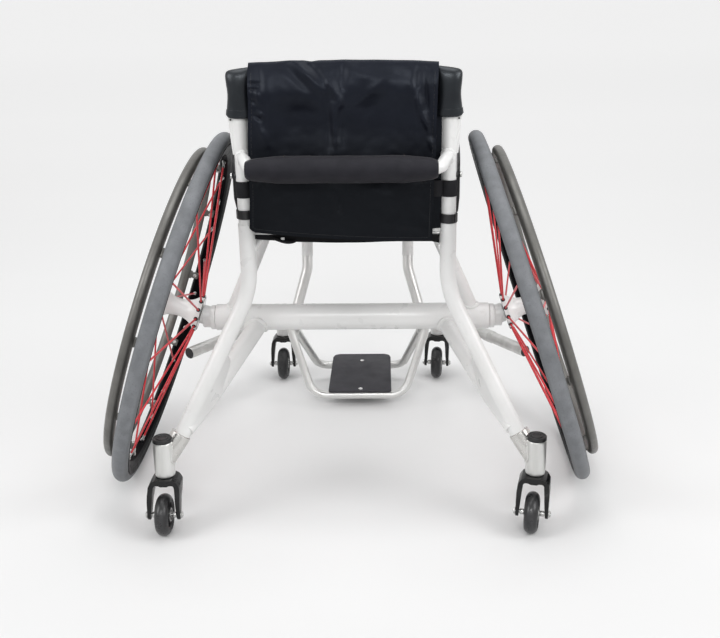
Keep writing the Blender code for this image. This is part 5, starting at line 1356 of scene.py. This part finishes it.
def on_flap(across, height):
    """A place on the flap; across runs from -1 at its left hem to 1 at its right hem."""
    fall = (FLAP_TOP - height) / (FLAP_TOP - FLAP_FOOT)
    middle = -0.0085 * fall
    x = middle + FLAP_HALF * across
    x += 0.0012 * noise.noise(Vector((across * 1.2, height * 24, 0.7))) * abs(across)
    bow = 1 - across * across
    back = FLAP_Y - 0.0030 * bow - 0.0130 * bow * smooth_step(fall, 0.25, 0.62)
    back -= 0.0045 * smooth_step(height, 0.60, 0.655) * bow
    back += 0.0150 * (max(0.0, height - 0.660) / 0.043) ** 2
    back += 0.0105 * hollow(x, height, -0.066, 0.046, 0.668) + 0.0095 * hollow(x, height, 0.050, 0.055, 0.676)
    for start, end, width, lift in FOLDS:
        back -= ridge(x, height, start, end, width, lift)
    back += 0.0012 * noise.noise(Vector((x * 30, 1.7, height * 26)))
    back += 0.0005 * noise.noise(Vector((x * 85, 4.2, height * 85)))
    hem = smooth_step(abs(x - middle), FLAP_HALF - 0.0056, FLAP_HALF - 0.0046)
    back -= 0.0005 * hem
    arch = 0.0040 * (1 - across * across) * smooth_step(height, 0.66, FLAP_TOP)
    dip = -0.0016 * 2.718 ** (-((x + 0.046) / 0.008) ** 2) + 0.0010 * 2.718 ** (-((x + 0.072) / 0.012) ** 2)
    arch += (dip + 0.0008 * noise.noise(Vector((x * 26, 9.1, 0)))) * smooth_step(height, 0.69, FLAP_TOP)
    corner = max(0.0, abs(across) - 0.93) / 0.07
    curl = 0.0055 if across < 0 else 0.0011
    lift = curl * corner * corner * (1 - smooth_step(height, FLAP_FOOT, FLAP_FOOT + 0.03))
    slope = -0.0081 * across * smooth_step(fall, 0.7, 1.0)
    return Vector((x, back, height + arch + lift + slope))


across_steps, down_steps = 150, 130
rows = []
for down_step in range(down_steps + 1):
    height = FLAP_FOOT + (FLAP_TOP - FLAP_FOOT) * down_step / down_steps
    rows.append([on_flap(-1 + 2 * step / across_steps, height) for step in range(across_steps + 1)])
top_row = rows[-1]
for turn, reach in ((20, 0.0035), (45, 0.0040), (70, 0.0045), (90, 0.0055), (90, 0.0080), (100, 0.0110)):
    angle = radians(turn)
    rise = 0.0016 * sin(2 * angle) - (0.0022 if reach > 0.008 else 0)
    rows.append([place + Vector((0, reach * sin(angle), rise)) for place in top_row])
flap = thickened(skinned("back_flap", rows), 0.0013)
coated(flap, nylon)
fitted(flap, "backrest")
behind = Vector((0, -0.0008, 0))
flap_threads = []
for across in (-0.963, 0.963):
    path = [on_flap(across, FLAP_FOOT + 0.006 + 0.238 * step / 24) + behind for step in range(25)]
    flap_threads.append(stitched("flap_thread", path))
path = [on_flap(-0.95 + 1.9 * step / 24, FLAP_FOOT + 0.0055) + behind for step in range(25)]
flap_threads.append(stitched("flap_thread", path))
threads = coated(joined("flap_threads", *flap_threads), thread_black)
fitted(threads, "backrest")

# Seat sling
# The seat is a nylon sling with its side hems wrapped over both rails. Three webbing straps under
# it take the load. Webbing also binds its rear edge, where a loose tail hangs down.
SEAT_REAR = -0.118
SEAT_REAR_Y = SEAT_REAR + AXLE_LINE_Y
SEAT_FRONT = 0.262
SEAT_WRAP = radians(75)


def seat_row(y):
    """One crossways row of the seat: round one rail, through the slack middle, round the other."""
    middle = on_rail(y)
    wrap_radius = POST_RADIUS + 0.0011
    narrow = 1 - smooth_step(y, -0.100, -0.088)
    wrap = SEAT_WRAP * (1 - narrow)
    half_row = []
    for step in range(9):
        angle = wrap * (1 - step / 8)
        x = middle.x - 0.012 * narrow + wrap_radius * sin(angle)
        half_row.append(Vector((x, middle.y, middle.z + wrap_radius * cos(angle))))
    inner = half_row[-1]
    for step in range(1, 31):
        share = step / 30
        x = inner.x * (1 - share)
        sag = 0.0060 * (1 - (x / inner.x) ** 2)
        wave = 0.0006 * noise.noise(Vector((x * 30, y * 24, 5.5)))
        half_row.append(Vector((x, middle.y, inner.z - sag + wave)))
    left = [Vector((-place.x, place.y, place.z)) for place in half_row[:-1]]
    return half_row + left[::-1]


rows = [seat_row(SEAT_REAR + (SEAT_FRONT - SEAT_REAR) * step / 90) for step in range(91)]
seat = coated(thickened(skinned("seat_sling", rows), 0.0022), nylon)
fitted(seat, "frame", "seat_sling")
seat_black = finish("seat_webbing", "black_fabric", (0.0045, 0.0045, 0.0055), 0.6, specular=0.15)
raised(seat_black, (700, 2, (1, 1, 3)), 0.0003, 0.5)
HEM_LINE = [(-0.1440, 0.4422, 0.4482), (-0.0990, 0.4382, 0.4480), (-0.0200, 0.4368, 0.4478),
            (0.0500, 0.4370, 0.4475), (0.1290, 0.4365, 0.4470), (0.1420, 0.4336, 0.4466)]
hem_rows = [[], []]
for here, after in zip(HEM_LINE, HEM_LINE[1:]):
    for step in range(8):
        low = Vector(here).lerp(Vector(after), step / 8)
        hem_rows[0].append(Vector((low.x, SEAT_REAR_Y - 0.0022, low.y)))
        hem_rows[1].append(Vector((low.x, SEAT_REAR_Y - 0.0012, low.z)))
seat_hem = thickened(skinned("seat_hem", hem_rows), 0.0018)
tail_route = [(-0.1158, 0.4425), (-0.1090, 0.4398), (-0.1000, 0.4362), (-0.0920, 0.4346),
              (-0.0850, 0.4352), (-0.0784, 0.4375)]
tail_rows = []
for rise, out in ((0.0, 0.0), (0.0026, -0.0052), (0.0060, -0.0040)):
    row = []
    for step, (x, z) in enumerate(tail_route):
        belly = sin(pi * step / 5)
        row.append(Vector((x, SEAT_REAR_Y - 0.0045 + out * belly, z + rise * (0.4 + 0.6 * belly))))
    tail_rows.append(row)
tail = skinned("seat_tail", tail_rows)
detail = tail.modifiers.new("detail", "SUBSURF")
detail.levels = 2
tail = thickened(settled(tail), 0.0012)
webbing_parts = coated(joined("seat_webbing", seat_hem, tail), seat_black)
fitted(webbing_parts, "frame")
piping = tube("seat_piping", [Vector((x, SEAT_REAR_Y - 0.0016, 0.4500)) for x in (-0.1425, 0, 0.1410)],
              0.0013, 10)
tag = block("seat_tag", (-0.1014, SEAT_REAR_Y - 0.0085, 0.4418), (-0.0959, SEAT_REAR_Y - 0.0070, 0.4456))
tag = eased(tag, 0.0006, 3)
fitted(coated(joined("seat_piping", piping, tag), powder_coat), "frame")
slider = eased(block("seat_slider", (0.1265, SEAT_REAR_Y - 0.0030, 0.4520),
                     (0.1425, SEAT_REAR_Y - 0.0012, 0.4598)), 0.0006, 3)
both_sides(coated(slider, steel), "seat_slider", "frame")
seat_threads = []
for y in (SEAT_REAR + 0.008, SEAT_FRONT - 0.008):
    path = [place + Vector((0, 0, 0.0012)) for place in seat_row(y)[8:-8:3]]
    seat_threads.append(stitched("seat_thread", path, 0.003, 0.0015))
seat_threads = fitted(coated(joined("seat_threads", *seat_threads), thread_black), "frame")
parts = []
for y in (-0.060, 0.075, 0.200):
    base = on_rail(y)
    path = []
    for step in range(13):
        angle = radians(-150 + 225 * step / 12)
        path.append(base + Vector((cos(angle), 0, -sin(angle))) * (POST_RADIUS + 0.0030))
    path = [place for place in path if place.z < base.z + 0.006]
    rows = []
    for shift in (-0.0125, 0.0125):
        flat = [Vector((-place.x, place.y + shift, place.z)) for place in reversed(path)]
        rows.append([place + Vector((0, shift, 0)) for place in path[::-1]] + flat[::-1])
    parts.append(thickened(skinned("seat_strap", rows), 0.0016))
seat_straps = fitted(coated(joined("seat_straps", *parts), webbing), "frame")

# Camera, floor and light
# The picture was taken from behind and above, in a white studio with a large soft light on
# either side.
CAMERA_PLACE = Vector((0.069, -1.64475, 0.8627))
PICTURE_WIDTH = 720
VIEW_CENTRE = 385.7
FLOOR_GLOW = [(-0.5, 0.035), (-0.1, 0.108), (0.4, 0.185), (0.8, 0.205), (1.25, 0.262), (1.9, 0.353),
              (2.8, 0.438), (3.7, 0.485), (7.3, 0.535)]
GLOW_NEAR = 0.9065
GLOW_FAR = 9.335
MIDDLE_GLOW = 0.11
yaw, pitch, roll = radians(-0.455), radians(20.531), radians(-0.537)
forward = Vector((sin(yaw) * cos(pitch), cos(yaw) * cos(pitch), -sin(pitch)))
level = Vector((cos(yaw), -sin(yaw), 0))
above = level.cross(forward)
right_axis = level * cos(roll) + above * sin(roll)
up_axis = above * cos(roll) - level * sin(roll)
lens = bpy.data.cameras.new("camera")
lens.lens = 50
lens.sensor_width = 36
lens.shift_x = (PICTURE_WIDTH / 2 - VIEW_CENTRE) / PICTURE_WIDTH
camera = bpy.data.objects.new("camera", lens)
bpy.context.scene.collection.objects.link(camera)
turn = Matrix((right_axis, up_axis, -forward)).transposed().to_4x4()
camera.matrix_world = Matrix.Translation(CAMERA_PLACE) @ turn
bpy.context.scene.camera = camera


def in_view(made):
    """1 for the camera and in reflections, which see the pale background, and 0 for the light."""
    ray = made.node_tree.nodes.new("ShaderNodeLightPath").outputs
    seen = sums(made, "MAXIMUM", ray["Is Camera Ray"], ray["Is Glossy Ray"])
    return sums(made, "MAXIMUM", seen, ray["Is Transmission Ray"])


# The floor's glow is seen and lights nothing. It grows with the distance from the camera, with a soft patch
# more under
# the chair: painted light that lifts the chair's shadow. Ambient occlusion dims the glow near the chair's
# parts:
# painted shade under the chair, its wheels and its footrest.
deselect()
bpy.ops.mesh.primitive_plane_add(size=400, location=(0, 0, 0))
floor = bpy.context.object
floor.name = "floor"
pale_floor = finish("pale_floor", None, (0.76, 0.76, 0.76), 0.6, specular=0.1)
tree = pale_floor.node_tree
depth = tree.nodes.new("ShaderNodeCameraData").outputs["View Z Depth"]
glow = tree.nodes.new("ShaderNodeValToRGB")
for y, strength in FLOOR_GLOW[1:-1]:
    glow.color_ramp.elements.new((y + 1) / 9)
for element, (y, strength) in zip(glow.color_ramp.elements, FLOOR_GLOW):
    element.position = (y + 1) / 9
    element.color = (strength, strength, strength, 1)
tree.links.new(ranged(pale_floor, depth, GLOW_NEAR, GLOW_FAR), glow.inputs["Fac"])
where = tree.nodes.new("ShaderNodeTexCoord")
reach = tree.nodes.new("ShaderNodeVectorMath")
reach.operation = "LENGTH"
tree.links.new(where.outputs["Object"], reach.inputs[0])
middle = ranged(pale_floor, reach.outputs["Value"], 0.05, 0.65, MIDDLE_GLOW, 0, "SMOOTHSTEP")
strength = sums(pale_floor, "ADD", glow.outputs["Color"], middle)
occlusion_shade = tree.nodes.new("ShaderNodeAmbientOcclusion")
occlusion_shade.inputs["Distance"].default_value = 0.12
strength = sums(pale_floor, "MULTIPLY", strength, occlusion_shade.outputs["AO"])
led(pale_floor, sums(pale_floor, "MULTIPLY", strength, in_view(pale_floor)), "Emission Strength")
tree.nodes["Principled BSDF"].inputs["Emission Color"].default_value = (1, 1, 1, 1)
floor.data.materials.append(pale_floor)


def softbox(name, place, target, width, height, power):
    """A large soft light that faces a place on the chair."""
    lamp = bpy.data.lights.new(name, "AREA")
    lamp.shape = "RECTANGLE"
    lamp.size = width
    lamp.size_y = height
    lamp.energy = power
    made = bpy.data.objects.new(name, lamp)
    bpy.context.scene.collection.objects.link(made)
    made.location = place
    made.rotation_euler = (Vector(target) - Vector(place)).to_track_quat("-Z", "Y").to_euler()


softbox("light_left", (-2.3, -1.2, 1.8), (0, 0, 0.3), 1.2, 1.4, 27)
softbox("light_right", (2.3, -1.1, 1.8), (0, 0, 0.3), 1.2, 1.4, 31)
softbox("light_top", (0, 0.0, 2.7), (0, 0, 0), 2.2, 1.4, 26)
softbox("light_camera", (0.0, -2.6, 2.1), (0, 0, 0.5), 1.6, 0.6, 24)
WORLD_LIGHT = 0.42
WORLD_SEEN = 0.90
world = bpy.data.worlds.new("studio")
bpy.context.scene.world = world
world.use_nodes = True
backdrop = world.node_tree.nodes["Background"]
backdrop.inputs["Color"].default_value = (0.87, 0.87, 0.87, 1)
level = ranged(world, in_view(world), 0, 1, WORLD_LIGHT, WORLD_SEEN)
world.node_tree.links.new(level, backdrop.inputs["Strength"])
bpy.context.scene.view_settings.view_transform = "Standard"
